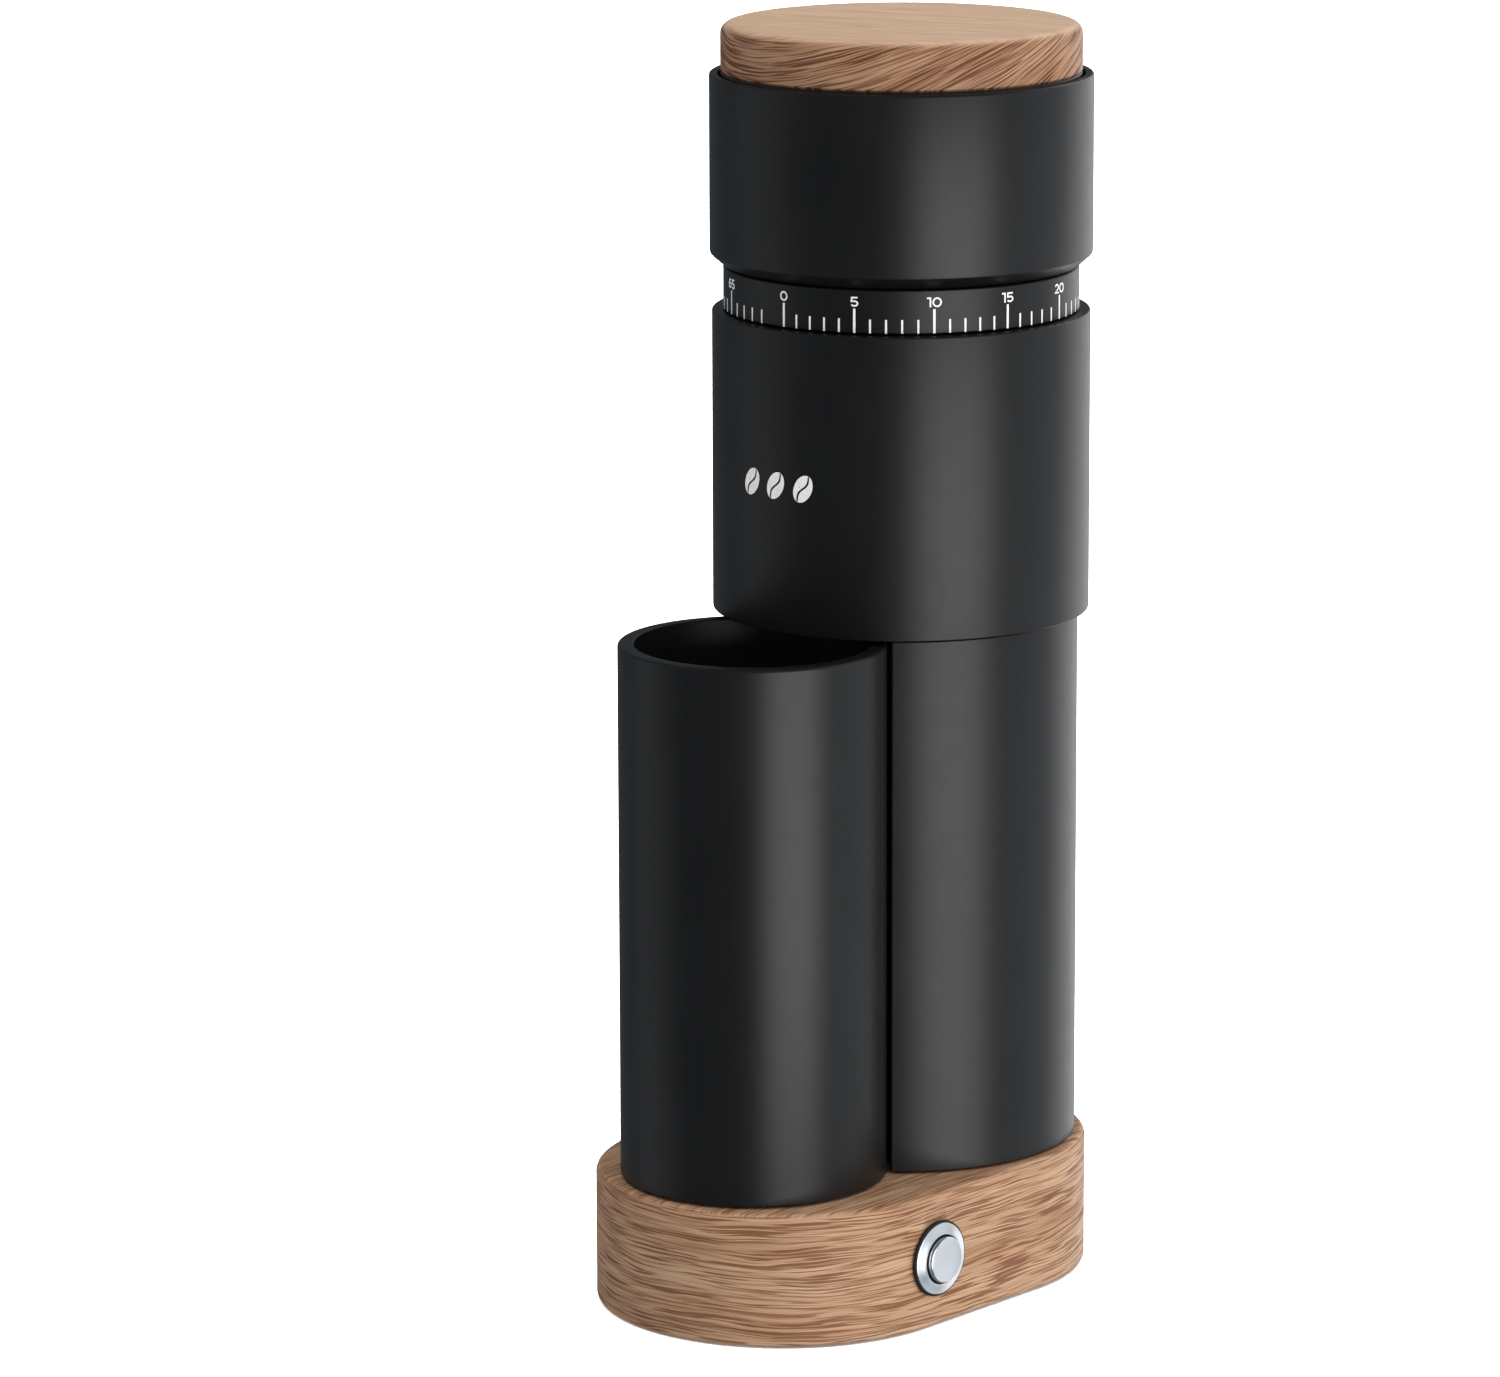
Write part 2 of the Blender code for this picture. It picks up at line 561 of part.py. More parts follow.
def build_head():
    inner_r = HEAD_R - HEAD_WALL
    housing_profile = (
        (HEAD_BORE_R, HEAD_FLOOR), (inner_r, HEAD_FLOOR), (inner_r, HEAD_TOP),
        (HEAD_R - HEAD_EDGE, HEAD_TOP), (HEAD_R, HEAD_TOP - HEAD_EDGE),
        (HEAD_R, HEAD_BOTTOM + HEAD_EDGE / 2), (HEAD_R - HEAD_EDGE / 2, HEAD_BOTTOM),
        (HEAD_BORE_R, HEAD_BOTTOM))
    housing = piece("head_housing", turned(housing_profile), COAT_LOOK, closed=True)
    screw_seat = HEAD_BOTTOM + 1.1
    above = HEAD_FLOOR + 10.0
    boolean(housing, "DIFFERENCE", drills(HEAD_SCREWS, SCREW_HOLE_R, HEAD_BOTTOM - 5.0, above))
    boolean(housing, "DIFFERENCE", drills(HEAD_SCREWS, 2.9, screw_seat, above))
    chute = [(prism(rectangle(*CHUTE_SIZE, CHUTE_CENTRE), HEAD_BOTTOM - 5.0, HEAD_FLOOR + 2.0), False)]
    boolean(housing, "DIFFERENCE", chute)
    for number, centre in enumerate(HEAD_SCREWS, 1):
        head = (HEAD_FLOOR - 0.1, screw_seat + GAP)
        screw(f"head_screw_{number}", centre, SCREW_HEAD_R, head, SHANK_R, TOWER_CAP_BOTTOM - 3.5)
    bush_r = HEAD_BORE_R - GAP
    bearing = ((bush_r, HEAD_BOTTOM), (bush_r, HEAD_FLOOR), (SHAFT_BORE_R, HEAD_FLOOR),
               (SHAFT_BORE_R, HEAD_BOTTOM))
    piece("shaft_bearing", turned(bearing, SMALL), BRASS_LOOK, closed=True)
    guide_inner, guide_outer = GUIDE_R
    guide_top = HEAD_TOP - 0.2
    guide = ((guide_inner, GUIDE_BOTTOM), (guide_outer, GUIDE_BOTTOM), (guide_outer, guide_top),
             (guide_inner, guide_top))
    ring = piece("guide_ring", turned(guide), PLASTIC_LOOK, closed=True)
    pocket_bottom = GUIDE_BOTTOM + 2.5
    boolean(ring, "DIFFERENCE", drills([DETENT_XY], 1.3, pocket_bottom, HEAD_TOP + 3.0))
    ball_z = HEAD_TOP - 1.0
    spring("detent_spring", 0.85, pocket_bottom + GAP, ball_z - 1.4, 4, location=(*DETENT_XY, 0))
    latitudes = [math.radians(a) for a in range(15, 180, 25)]
    ball = [(DETENT_BALL_R * math.sin(a), ball_z - DETENT_BALL_R * math.cos(a)) for a in latitudes]
    piece("detent_ball", turned(ball, TINY, DETENT_XY), POLISHED_LOOK)


def build_burrs():
    arms = []
    for i, (x, y) in enumerate(circle(1.0)):
        reach = SWEEPER_R if i % 12 < 2 else SWEEPER_HUB_R
        arms.append((reach * x, reach * y))
    bore = radial(arms, SHAFT_R + GAP)
    piece("sweeper", wall(arms, bore, SWEEPER_BOTTOM, SWEEPER_TOP), STEEL_LOOK, closed=True)
    inner = piece("inner_burr", inner_burr_loops(), STEEL_LOOK)
    boolean(inner, "DIFFERENCE", drills([(0, 0)], SHAFT_R + GAP, BURR_BOTTOM - 5.0, BURR_TOP + 12.0, SMALL))
    bolt = ((BOLT_R, BURR_TOP + GAP), (BOLT_R, BOLT_TOP - 1.0), (SHAFT_R, BOLT_TOP))
    bolt_piece = piece("burr_bolt", turned(bolt, 6), STEEL_LOOK)
    boolean(bolt_piece, "DIFFERENCE", drills([(0, 0)], SHAFT_R + GAP, BURR_TOP - 8.0, BOLT_TOP - 2.1, SMALL))
    ring = piece("ring_burr", ring_burr_loops(), STEEL_LOOK, closed=True)
    below = CARRIER_RING_BOTTOM - 3.7
    boolean(ring, "DIFFERENCE", drills(BURR_SCREWS, COVER_SCREW_HOLE_R, below, RING_BURR_BOTTOM + 6.7))
    neck_inner, neck_outer = CARRIER_NECK_R
    carrier_profile = (
        (CARRIER_RING_R, CARRIER_RING_BOTTOM), (CARRIER_RING_R, RING_BURR_TOP), (neck_outer, RING_BURR_TOP),
        (neck_outer, CARRIER_NECK_TOP), (neck_inner, CARRIER_NECK_TOP), (neck_inner, RING_BURR_BOTTOM - GAP),
        (21.5, RING_BURR_BOTTOM - GAP), (21.5, CARRIER_RING_BOTTOM))
    carrier = piece("burr_carrier", turned(carrier_profile), PLASTIC_LOOK, closed=True)
    boolean(carrier, "DIFFERENCE", drills(BURR_SCREWS, COVER_SCREW_HOLE_R, below, RING_BURR_BOTTOM + 0.7))
    for number, centre in enumerate(BURR_SCREWS, 1):
        head = (CARRIER_RING_BOTTOM - 1.4, CARRIER_RING_BOTTOM - GAP)
        screw(f"burr_screw_{number}", centre, 1.9, head, SMALL_SHANK_R, RING_BURR_BOTTOM + 5.7)


def inner_burr_loops():
    """A cone whose blades spiral and flare towards its base."""
    count = BURR_BLADES * BLADE_SIDES
    levels = 4
    loops = []
    for level in range(levels + 1):
        t = level / levels
        mean = BURR_BASE_R - BURR_TAPER * t**1.5
        depth = 0.06 + 0.26 * t
        outline = []
        for i in range(count):
            radius = mean * (1 - depth * (i % BLADE_SIDES) / BLADE_SIDES)
            angle = math.tau * i / count + math.radians(BURR_TWIST) * t
            outline.append((radius * math.cos(angle), radius * math.sin(angle)))
        loops.append(at(outline, BURR_BOTTOM + (BURR_TOP - BURR_BOTTOM) * t))
    return loops


def ring_burr_loops():
    """A ring with slanted teeth on its inner, upward-opening cone."""
    count = RING_BURR_TEETH * 2
    outline = circle(RING_BURR_R, count)
    loops = [at(outline, RING_BURR_BOTTOM), at(outline, RING_BURR_TOP)]
    levels = 2
    narrow, wide = RING_BURR_BORE
    for level in range(levels + 1):
        t = 1 - level / levels
        mean = narrow + (wide - narrow) * t
        points = []
        for i in range(count):
            angle = math.tau * i / count - math.radians(RING_BURR_SLANT) * t
            radius = mean + (0.45 if i % 2 else -0.45)
            points.append((radius * math.cos(angle), radius * math.sin(angle)))
        loops.append(at(points, RING_BURR_BOTTOM + (RING_BURR_TOP - RING_BURR_BOTTOM) * t))
    return loops


def build_dial_and_hopper():
    collar_inner, collar_outer = COLLAR_R
    collar = ((collar_outer, COLLAR_BOTTOM), (collar_outer, HEAD_TOP), (collar_inner, HEAD_TOP),
              (collar_inner, COLLAR_BOTTOM))
    piece("adjuster_collar", turned(collar), BRASS_LOOK, closed=True)
    bottom, top = HEAD_TOP + GAP, DIAL_TOP - GAP
    dial = ((collar_inner, bottom), (DIAL_R, bottom), (DIAL_R, top), (collar_inner, top))
    piece("dial_ring", turned(dial), COAT_LOOK, closed=True)
    inner_r = HOPPER_R - HOPPER_WALL
    ledge_r = inner_r - HOPPER_LEDGE
    hopper = (
        (HOPPER_BORE_R, DIAL_TOP), (DIAL_R, DIAL_TOP), (HOPPER_R, HOPPER_CHAMFER_TOP),
        (HOPPER_R, HOPPER_TOP - 0.3), (HOPPER_R - 0.3, HOPPER_TOP), (inner_r, HOPPER_TOP),
        (inner_r, LEDGE_Z), (ledge_r, LEDGE_Z), (ledge_r, 196.0), (HOPPER_BORE_R, 193.0))
    piece("hopper_body", turned(hopper), COAT_LOOK, closed=True)
    neck_inner, neck_outer = FUNNEL_NECK_R
    funnel = (
        (FUNNEL_R, FUNNEL_TOP - 1.5), (FUNNEL_R, FUNNEL_TOP), (neck_inner, 189.0),
        (neck_inner, FUNNEL_BOTTOM), (neck_outer, FUNNEL_BOTTOM), (neck_outer, 188.0),
        (COLLAR_R[0] + GAP, 196.6))
    piece("hopper_funnel", turned(funnel), PLASTIC_LOOK, closed=True)


def build_lid():
    wood = ((LID_R, LID_BOTTOM), (LID_R, LID_TOP - LID_EDGE), (LID_R - 0.3 * LID_EDGE, LID_TOP - 0.3 * LID_EDGE),
            (LID_R - LID_EDGE, LID_TOP))
    piece("lid_top", turned(wood), WOOD_LOOK)
    groove_bottom, groove_top = PLUG_GROOVE
    plug = ((PLUG_R, LEDGE_Z + GAP), (PLUG_R, groove_bottom), (PLUG_GROOVE_R, groove_bottom),
            (PLUG_GROOVE_R, groove_top), (PLUG_R, groove_top), (PLUG_R, LID_BOTTOM - GAP))
    piece("lid_plug", turned(plug), PLASTIC_LOOK)
    inner_r, outer_r = PLUG_GROOVE_R + GAP, PLUG_R + GAP
    gasket = ((inner_r, groove_bottom + GAP), (outer_r, groove_bottom + 2 * GAP),
              (outer_r, groove_top - 2 * GAP), (inner_r, groove_top - GAP))
    piece("lid_gasket", turned(gasket), SILICONE_LOOK, closed=True)


def build_cup():
    inner_r = CUP_R - CUP_WALL
    bottom = BASE_TOP + GAP
    floor = bottom + CUP_FLOOR
    profile = (
        (inner_r - 2.0, floor), (inner_r, floor + 2.0), (inner_r, CUP_TOP - 0.6), (inner_r + 0.6, CUP_TOP),
        (CUP_R - CUP_RIM, CUP_TOP), (CUP_R - 0.3 * CUP_RIM, CUP_TOP - 0.3 * CUP_RIM), (CUP_R, CUP_TOP - CUP_RIM),
        (CUP_R, bottom + 0.5), (CUP_R - 0.5, bottom))
    cup = piece("grounds_cup", turned(profile), COAT_LOOK, location=(CUP_X, 0, 0))
    pocket = turned(((MAGNET_R + 0.4, bottom - 5.0), (MAGNET_R + 0.4, bottom + 2.4)), SMALL, MAGNET_XY)
    boolean(cup, "DIFFERENCE", [(pocket, False)])
    magnet = turned(((MAGNET_R, bottom + 0.05), (MAGNET_R, bottom + MAGNET_HEIGHT)), SMALL, MAGNET_XY)
    piece("cup_magnet", magnet, MAGNET_LOOK)


for existing in list(bpy.data.objects):
    bpy.data.objects.remove(existing, do_unlink=True)
build_base()
build_electrics()
build_button()
build_tower()
build_motor()
build_gearbox()
build_head()
build_burrs()
build_dial_and_hopper()
build_lid()
build_cup()
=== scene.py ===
"""The looks of the burr coffee grinder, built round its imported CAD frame. Lengths are in metres."""

import json
import math

import bmesh
import bpy
from mathutils import Matrix, Vector


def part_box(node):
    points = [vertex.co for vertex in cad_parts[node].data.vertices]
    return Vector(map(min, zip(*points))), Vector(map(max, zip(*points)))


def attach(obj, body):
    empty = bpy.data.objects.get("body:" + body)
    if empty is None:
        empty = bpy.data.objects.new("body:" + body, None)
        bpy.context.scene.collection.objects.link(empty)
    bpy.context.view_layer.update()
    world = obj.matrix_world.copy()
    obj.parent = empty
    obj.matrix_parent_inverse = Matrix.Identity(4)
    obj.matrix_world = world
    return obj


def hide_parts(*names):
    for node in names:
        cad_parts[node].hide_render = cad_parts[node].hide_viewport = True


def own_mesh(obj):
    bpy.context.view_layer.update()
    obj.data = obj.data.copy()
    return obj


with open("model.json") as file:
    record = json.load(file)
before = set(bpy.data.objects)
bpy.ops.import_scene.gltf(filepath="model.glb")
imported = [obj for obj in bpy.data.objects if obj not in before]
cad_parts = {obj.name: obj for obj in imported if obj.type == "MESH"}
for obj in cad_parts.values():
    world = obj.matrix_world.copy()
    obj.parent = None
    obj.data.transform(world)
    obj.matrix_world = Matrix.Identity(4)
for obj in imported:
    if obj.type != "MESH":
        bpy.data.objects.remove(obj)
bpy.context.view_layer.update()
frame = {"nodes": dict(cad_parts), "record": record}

MM = 0.001
ROUND = 160  # sides of a large round piece
MEDIUM = 96  # sides of the button's parts
FINE = 48  # sides of a hole


# ---------------------------------------------------------------- sizes, read from the frame

def middle(node):
    low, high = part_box(node)
    return (low + high) / 2


def radius_of(node):
    low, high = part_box(node)
    return (high.y - low.y) / 2


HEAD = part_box("head_housing")
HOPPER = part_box("hopper_body")
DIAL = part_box("dial_ring")
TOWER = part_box("tower_tube")
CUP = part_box("grounds_cup")
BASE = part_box("base_shell")
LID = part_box("lid_top")
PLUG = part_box("lid_plug")
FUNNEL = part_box("hopper_funnel")

HEAD_R = radius_of("head_housing")
HOPPER_R = radius_of("hopper_body")
DIAL_R = radius_of("dial_ring")
TOWER_R = radius_of("tower_tube")
CUP_R = radius_of("grounds_cup")
LID_R = radius_of("lid_top")
BASE_R = radius_of("base_shell")
CUP_X = middle("grounds_cup").x
BASE_FAR_X = BASE[0].x + BASE_R
BASE_NEAR_X = BASE[1].x - BASE_R
BUTTON = middle("button_bezel")
PORT = middle("charging_port")
BUTTON_FACE_Y = BASE[0].y


# ---------------------------------------------------------------- mesh tools

def arc(centre_r, centre_z, radius, start, end, steps=6):
    """Points of an arc in the (radius, height) plane, from the start angle to the end, in degrees."""
    angles = [math.radians(start + (end - start) * i / steps) for i in range(steps + 1)]
    return [(centre_r + radius * math.cos(a), centre_z + radius * math.sin(a)) for a in angles]


def circle(radius, count, centre=(0.0, 0.0)):
    angles = [math.tau * i / count for i in range(count)]
    return [(centre[0] + radius * math.cos(a), centre[1] + radius * math.sin(a)) for a in angles]


def at(outline, height):
    return [(x, y, height) for x, y in outline]


def turned(profile, count=ROUND, centre=(0.0, 0.0)):
    return [at(circle(r, count, centre), z) for r, z in profile]


def linked(name, data):
    """A new object in the scene."""
    made = bpy.data.objects.new(name, data)
    bpy.context.scene.collection.objects.link(made)
    return made


def mesh_of(name, builder):
    mesh = bpy.data.meshes.new(name)
    builder.to_mesh(mesh)
    builder.free()
    return mesh


def skin(name, loops, closed=False, smooth=28, grain=None):
    """A solid through loops of points, with its first and last loop filled in, or joined when closed.

    grain gives the wood coordinates of a loop's number and a column's number. smooth is the angle in
    degrees below which an edge is shaded smooth.
    """
    builder = bmesh.new()
    rows = [[builder.verts.new(point) for point in loop] for loop in loops]
    pairs = [(k, k + 1) for k in range(len(rows) - 1)]
    layer = builder.loops.layers.uv.new("grain") if grain else None
    if closed:
        pairs.append((len(rows) - 1, 0))
    else:
        for row, number in ((rows[0], 0), (rows[-1], len(rows) - 1)):
            face = builder.faces.new(row)
            if grain:
                for corner, column in zip(face.loops, range(len(row))):
                    corner[layer].uv = grain(number, column)
    count = len(rows[0])
    for low, high in pairs:
        for i in range(count):
            j = (i + 1) % count
            face = builder.faces.new((rows[low][i], rows[low][j], rows[high][j], rows[high][i]))
            if grain:
                places = ((low, i), (low, i + 1), (high, i + 1), (high, i))
                for corner, place in zip(face.loops, places):
                    corner[layer].uv = grain(*place)
    bmesh.ops.recalc_face_normals(builder, faces=builder.faces)
    mesh = mesh_of(name, builder)
    mesh.shade_smooth()
    mesh.set_sharp_from_angle(angle=math.radians(smooth))
    return linked(name, mesh)


def carve(target, cutter):
    """Cuts cutter out of target and removes it."""
    modifier = target.modifiers.new("Cut", "BOOLEAN")
    modifier.object = cutter
    modifier.operation = "DIFFERENCE"
    graph = bpy.context.evaluated_depsgraph_get()
    mesh = bpy.data.meshes.new_from_object(target.evaluated_get(graph))
    target.modifiers.clear()
    target.data = mesh
    bpy.data.objects.remove(cutter)


def facing_button(piece):
    """Turns a piece made along +Z to point out of the base's button side."""
    piece.data.transform(Matrix.Rotation(math.radians(90), 4, "X"))
    piece.data.transform(Matrix.Translation((BUTTON.x, BUTTON_FACE_Y, BUTTON.z)))


def finish(piece, look, body, *nodes, slot=None):
    """Gives a piece its look and its body, and hides the nodes it stands for. slot is not used."""
    piece.data.materials.clear()
    piece.data.materials.append(look)
    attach(piece, body)
    if nodes:
        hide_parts(*nodes)


# ---------------------------------------------------------------- materials

class Nodes:
    """A material's node tree, with short calls for the nodes used here."""

    def __init__(self, name):
        self.material = bpy.data.materials.new(name)
        self.material.use_nodes = True
        self.tree = self.material.node_tree
        self.shader = self.tree.nodes["Principled BSDF"]

    def add(self, kind, **values):
        node = self.tree.nodes.new(kind)
        for key, value in values.items():
            setattr(node, key, value)
        return node

    def link(self, source, target):
        self.tree.links.new(source, target)

    def set(self, **values):
        for key, value in values.items():
            self.shader.inputs[key.replace("_", " ")].default_value = value

    def feed(self, socket, value):
        """Links value to the socket if it comes from a node, and sets it there if it's a number or colour."""
        if hasattr(value, "is_output"):
            self.link(value, socket)
        elif hasattr(value, "__len__"):
            socket.default_value = (*value, 1.0)
        else:
            socket.default_value = value

    def place(self, scale=(1, 1, 1), rotation=(0, 0, 0)):
        """The object's own coordinates, turned and scaled."""
        source = self.add("ShaderNodeTexCoord").outputs["Object"]
        mapping = self.add("ShaderNodeMapping")
        mapping.inputs["Rotation"].default_value = rotation
        mapping.inputs["Scale"].default_value = scale
        self.link(source, mapping.inputs["Vector"])
        return mapping.outputs["Vector"]

    def noise(self, vector, scale, detail, roughness=0.5):
        node = self.add("ShaderNodeTexNoise")
        node.inputs["Scale"].default_value = scale
        node.inputs["Detail"].default_value = detail
        node.inputs["Roughness"].default_value = roughness
        self.link(vector, node.inputs["Vector"])
        return node.outputs["Fac"]

    def ramp(self, factor, *stops):
        """Stops are (position, colour), where a single number is a grey."""
        node = self.add("ShaderNodeValToRGB")
        while len(node.color_ramp.elements) < len(stops):
            node.color_ramp.elements.new(0.5)
        for element, (position, colour) in zip(node.color_ramp.elements, stops):
            element.position = position
            grey = not hasattr(colour, "__len__")
            element.color = (colour, colour, colour, 1.0) if grey else (*colour, 1.0)
        self.link(factor, node.inputs["Fac"])
        return node.outputs["Color"]

    def mix(self, factor, first, second, blend="MIX"):
        node = self.add("ShaderNodeMix", data_type="RGBA", blend_type=blend)
        for socket, value in (("Factor", factor), ("A", first), ("B", second)):
            self.feed(node.inputs[socket], value)
        return node.outputs["Result"]

    def math(self, operation, *values):
        node = self.add("ShaderNodeMath", operation=operation)
        for socket, value in zip(node.inputs, values):
            self.feed(socket, value)
        return node.outputs["Value"]

    def bump(self, height, strength, distance):
        node = self.add("ShaderNodeBump")
        node.inputs["Strength"].default_value = strength
        node.inputs["Distance"].default_value = distance
        self.link(height, node.inputs["Height"])
        self.link(node.outputs["Normal"], self.shader.inputs["Normal"])

    def colour(self, value):
        self.link(value, self.shader.inputs["Base Color"])

    def rough(self, value):
        self.link(value, self.shader.inputs["Roughness"])

    def clouded(self, noise, colour, low=1.0, high=1.0):
        """A colour that varies with a noise, from low to high times itself."""
        self.colour(self.ramp(noise, (0.3, [c * low for c in colour]), (0.7, [c * high for c in colour])))


GRAIN_WAVE = 4.0 * MM  # the width of the band that a line of grain wanders in


class Grain:
    """One wood tone of a material: bands, fibres and reddish streaks that run along a direction.

    point holds two coordinates along the grain, X and Y, and one across it, Z, in metres.
    """

    def __init__(self, made, point, tones, contrast, streak_share):
        self.made = made
        self.split = made.add("ShaderNodeSeparateXYZ")
        made.link(point, self.split.inputs["Vector"])
        self.wave = None
        drift = made.noise(self.stretched(30.0, 90.0), 1.0, 2.0)
        self.wave = made.math("MULTIPLY", made.math("SUBTRACT", drift, 0.5), GRAIN_WAVE)
        pale, mid, dark = tones

        bands = made.noise(self.stretched(14.0, 420.0), 1.0, 3.0, 0.6)
        fibres = made.noise(self.stretched(70.0, 3300.0, 3.1), 1.0, 2.0, 0.6)
        streaks = made.noise(self.stretched(60.0, 2100.0, 7.7), 1.0, 1.0, 0.45)
        lines = made.noise(self.stretched(85.0, 3300.0, 11.3), 1.0, 1.0, 0.4)
        clusters = made.noise(self.stretched(34.0, 330.0, 5.2), 1.0, 2.0)

        ground = made.ramp(bands, (0.34, mid), (0.60, pale))
        fibre_tone = made.ramp(fibres, (0.38, 0.86), (0.60, 1.0))
        ground = made.mix(contrast, ground, fibre_tone, "MULTIPLY")
        gate = made.ramp(clusters, (0.34, 0.62), (0.52, 0.92))
        wide = made.ramp(streaks, (0.585 - streak_share, 0.0), (0.74 - streak_share, 0.62))
        thin = made.ramp(lines, (0.555 - streak_share, 0.0), (0.63 - streak_share, 0.95))
        self.mask = made.math("MULTIPLY", made.math("MAXIMUM", wide, thin), gate)
        self.colour = made.mix(made.math("MULTIPLY", self.mask, contrast), ground, dark)
        self.relief = made.math("SUBTRACT", fibres, made.math("MULTIPLY", self.mask, contrast))

    def stretched(self, along, across, shift=0.0):
        """The point scaled by along and across the grain, so that a noise of it becomes long streaks."""
        made = self.made
        join = made.add("ShaderNodeCombineXYZ")
        made.link(made.math("MULTIPLY", self.split.outputs["X"], along), join.inputs["X"])
        made.link(made.math("MULTIPLY_ADD", self.split.outputs["Y"], along, shift), join.inputs["Y"])
        height = self.split.outputs["Z"]
        if self.wave is not None:
            height = made.math("ADD", height, self.wave)
        made.link(made.math("MULTIPLY", height, across), join.inputs["Z"])
        return join.outputs["Vector"]


def wood_look(name, side, top, perimeter, turn, edge, rise=0.0, rise_turn=0.0):
    """Oiled oak whose grain runs round the side and straight across the top.

    The "grain" map holds the share of the perimeter and the distance up the side. side and top are
    (tones, contrast, streak share). edge is where the side gives way to the top, on that distance.
    rise lifts and drops the side's grain by that much over one turn.
    """
    made = Nodes(name)
    spot = made.add("ShaderNodeSeparateXYZ")
    made.link(made.add("ShaderNodeUVMap", uv_map="grain").outputs["UV"], spot.inputs["Vector"])
    angle = made.math("MULTIPLY", spot.outputs["X"], math.tau)
    ring = made.add("ShaderNodeCombineXYZ")
    for operation, axis in (("COSINE", "X"), ("SINE", "Y")):
        reach = made.math("MULTIPLY", made.math(operation, angle), perimeter / math.tau)
        made.link(reach, ring.inputs[axis])
    lift = made.math("MULTIPLY", made.math("SINE", made.math("SUBTRACT", angle, rise_turn)), rise)
    made.link(made.math("SUBTRACT", spot.outputs["Y"], lift), ring.inputs["Z"])
    around = Grain(made, ring.outputs["Vector"], *side)

    flat = made.add("ShaderNodeSeparateXYZ")
    made.link(made.place(rotation=(0, 0, -turn)), flat.inputs["Vector"])
    plane = made.add("ShaderNodeCombineXYZ")
    for source, axis in (("X", "X"), ("Z", "Y"), ("Y", "Z")):
        made.link(flat.outputs[source], plane.inputs[axis])
    across = Grain(made, plane.outputs["Vector"], *top)

    onto_top = made.add("ShaderNodeMapRange", interpolation_type="SMOOTHSTEP")
    onto_top.inputs["From Min"].default_value, onto_top.inputs["From Max"].default_value = edge
    made.link(spot.outputs["Y"], onto_top.inputs["Value"])
    share = onto_top.outputs["Result"]
    made.colour(made.mix(share, around.colour, across.colour))
    relief = made.mix(share, around.relief, across.relief)
    made.rough(made.ramp(relief, (0.0, 0.62), (0.6, 0.48)))
    made.bump(relief, 0.30, 0.10 * MM)
    made.set(Specular_IOR_Level=0.22)
    return made.material


def coat_look(name, colour, roughness):
    """Satin black coating with the faint orange peel that a sprayed tube has."""
    made = Nodes(name)
    space = made.place()
    made.clouded(made.noise(space, 60.0, 3.0), colour, 0.88, 1.12)
    grain = made.noise(space, 2600.0, 2.0)
    made.rough(made.ramp(made.noise(space, 240.0, 4.0), (0.3, roughness - 0.012), (0.7, roughness + 0.012)))
    made.bump(grain, 0.06, 0.03 * MM)
    made.set(Specular_IOR_Level=0.32)
    return made.material


def plastic_look(name, colour, roughness=0.5):
    """Moulded plastic or rubber with a fine matt texture."""
    made = Nodes(name)
    space = made.place()
    made.clouded(made.noise(space, 90.0, 3.0), colour, 0.85, 1.15)
    made.rough(made.ramp(made.noise(space, 500.0, 3.0), (0.3, roughness - 0.06), (0.7, roughness + 0.06)))
    made.bump(made.noise(space, 3000.0, 2.0), 0.10, 0.04 * MM)
    return made.material


def metal_look(name, colour, roughness, along="Z", grain=0.10, lines=9000.0):
    """Machined metal: fine turning or drawing lines across the given axis, and faint cloudy wear.

    grain is how strong the lines are, and lines roughly how many there are to a metre.
    """
    made = Nodes(name)
    scale = [lines if axis == along else 160.0 for axis in "XYZ"]
    fine = made.noise(made.place(scale), 1.0, 2.0)
    made.clouded(made.noise(made.place(), 120.0, 3.0), colour, 0.9)
    made.rough(made.ramp(fine, (0.3, max(0.03, roughness - 0.05)), (0.7, roughness + 0.05)))
    made.bump(fine, grain, 0.02 * MM)
    made.set(Metallic=1.0)
    return made.material


def print_look():
    """White pad-printed ink, slightly uneven."""
    made = Nodes("white_print")
    worn = made.noise(made.place(), 1500.0, 2.0)
    made.colour(made.ramp(worn, (0.35, (0.84, 0.84, 0.84)), (0.6, (0.92, 0.92, 0.92))))
    made.rough(made.ramp(worn, (0.3, 0.5), (0.7, 0.62)))
    return made.material


def silicone_look():
    """Soft milky silicone that lets a little light in."""
    made = Nodes("milky_silicone")
    cloud = made.noise(made.place(), 200.0, 3.0)
    made.colour(made.ramp(cloud, (0.3, (0.62, 0.62, 0.60)), (0.7, (0.70, 0.70, 0.68))))
    made.rough(made.ramp(cloud, (0.3, 0.4), (0.7, 0.5)))
    made.set(Subsurface_Weight=0.15, Subsurface_Scale=0.002)
    return made.material


def board_look():
    """Solder mask with gold pads and traces."""
    made = Nodes("circuit_board")
    grid = made.add("ShaderNodeTexBrick")
    grid.inputs["Scale"].default_value = 260.0
    grid.inputs["Mortar Size"].default_value = 0.012
    grid.inputs["Color1"].default_value = (0.012, 0.10, 0.045, 1)
    grid.inputs["Color2"].default_value = (0.016, 0.13, 0.055, 1)
    grid.inputs["Mortar"].default_value = (0.045, 0.24, 0.10, 1)
    made.link(made.place(), grid.inputs["Vector"])
    pads = made.add("ShaderNodeTexVoronoi")
    pads.inputs["Scale"].default_value = 420.0
    made.link(made.place(), pads.inputs["Vector"])
    spots = made.ramp(pads.outputs["Distance"], (0.12, 1.0), (0.16, 0.0))
    made.colour(made.mix(spots, grid.outputs["Color"], (0.75, 0.6, 0.3)))
    made.rough(made.ramp(spots, (0.0, 0.45), (1.0, 0.25)))
    return made.material


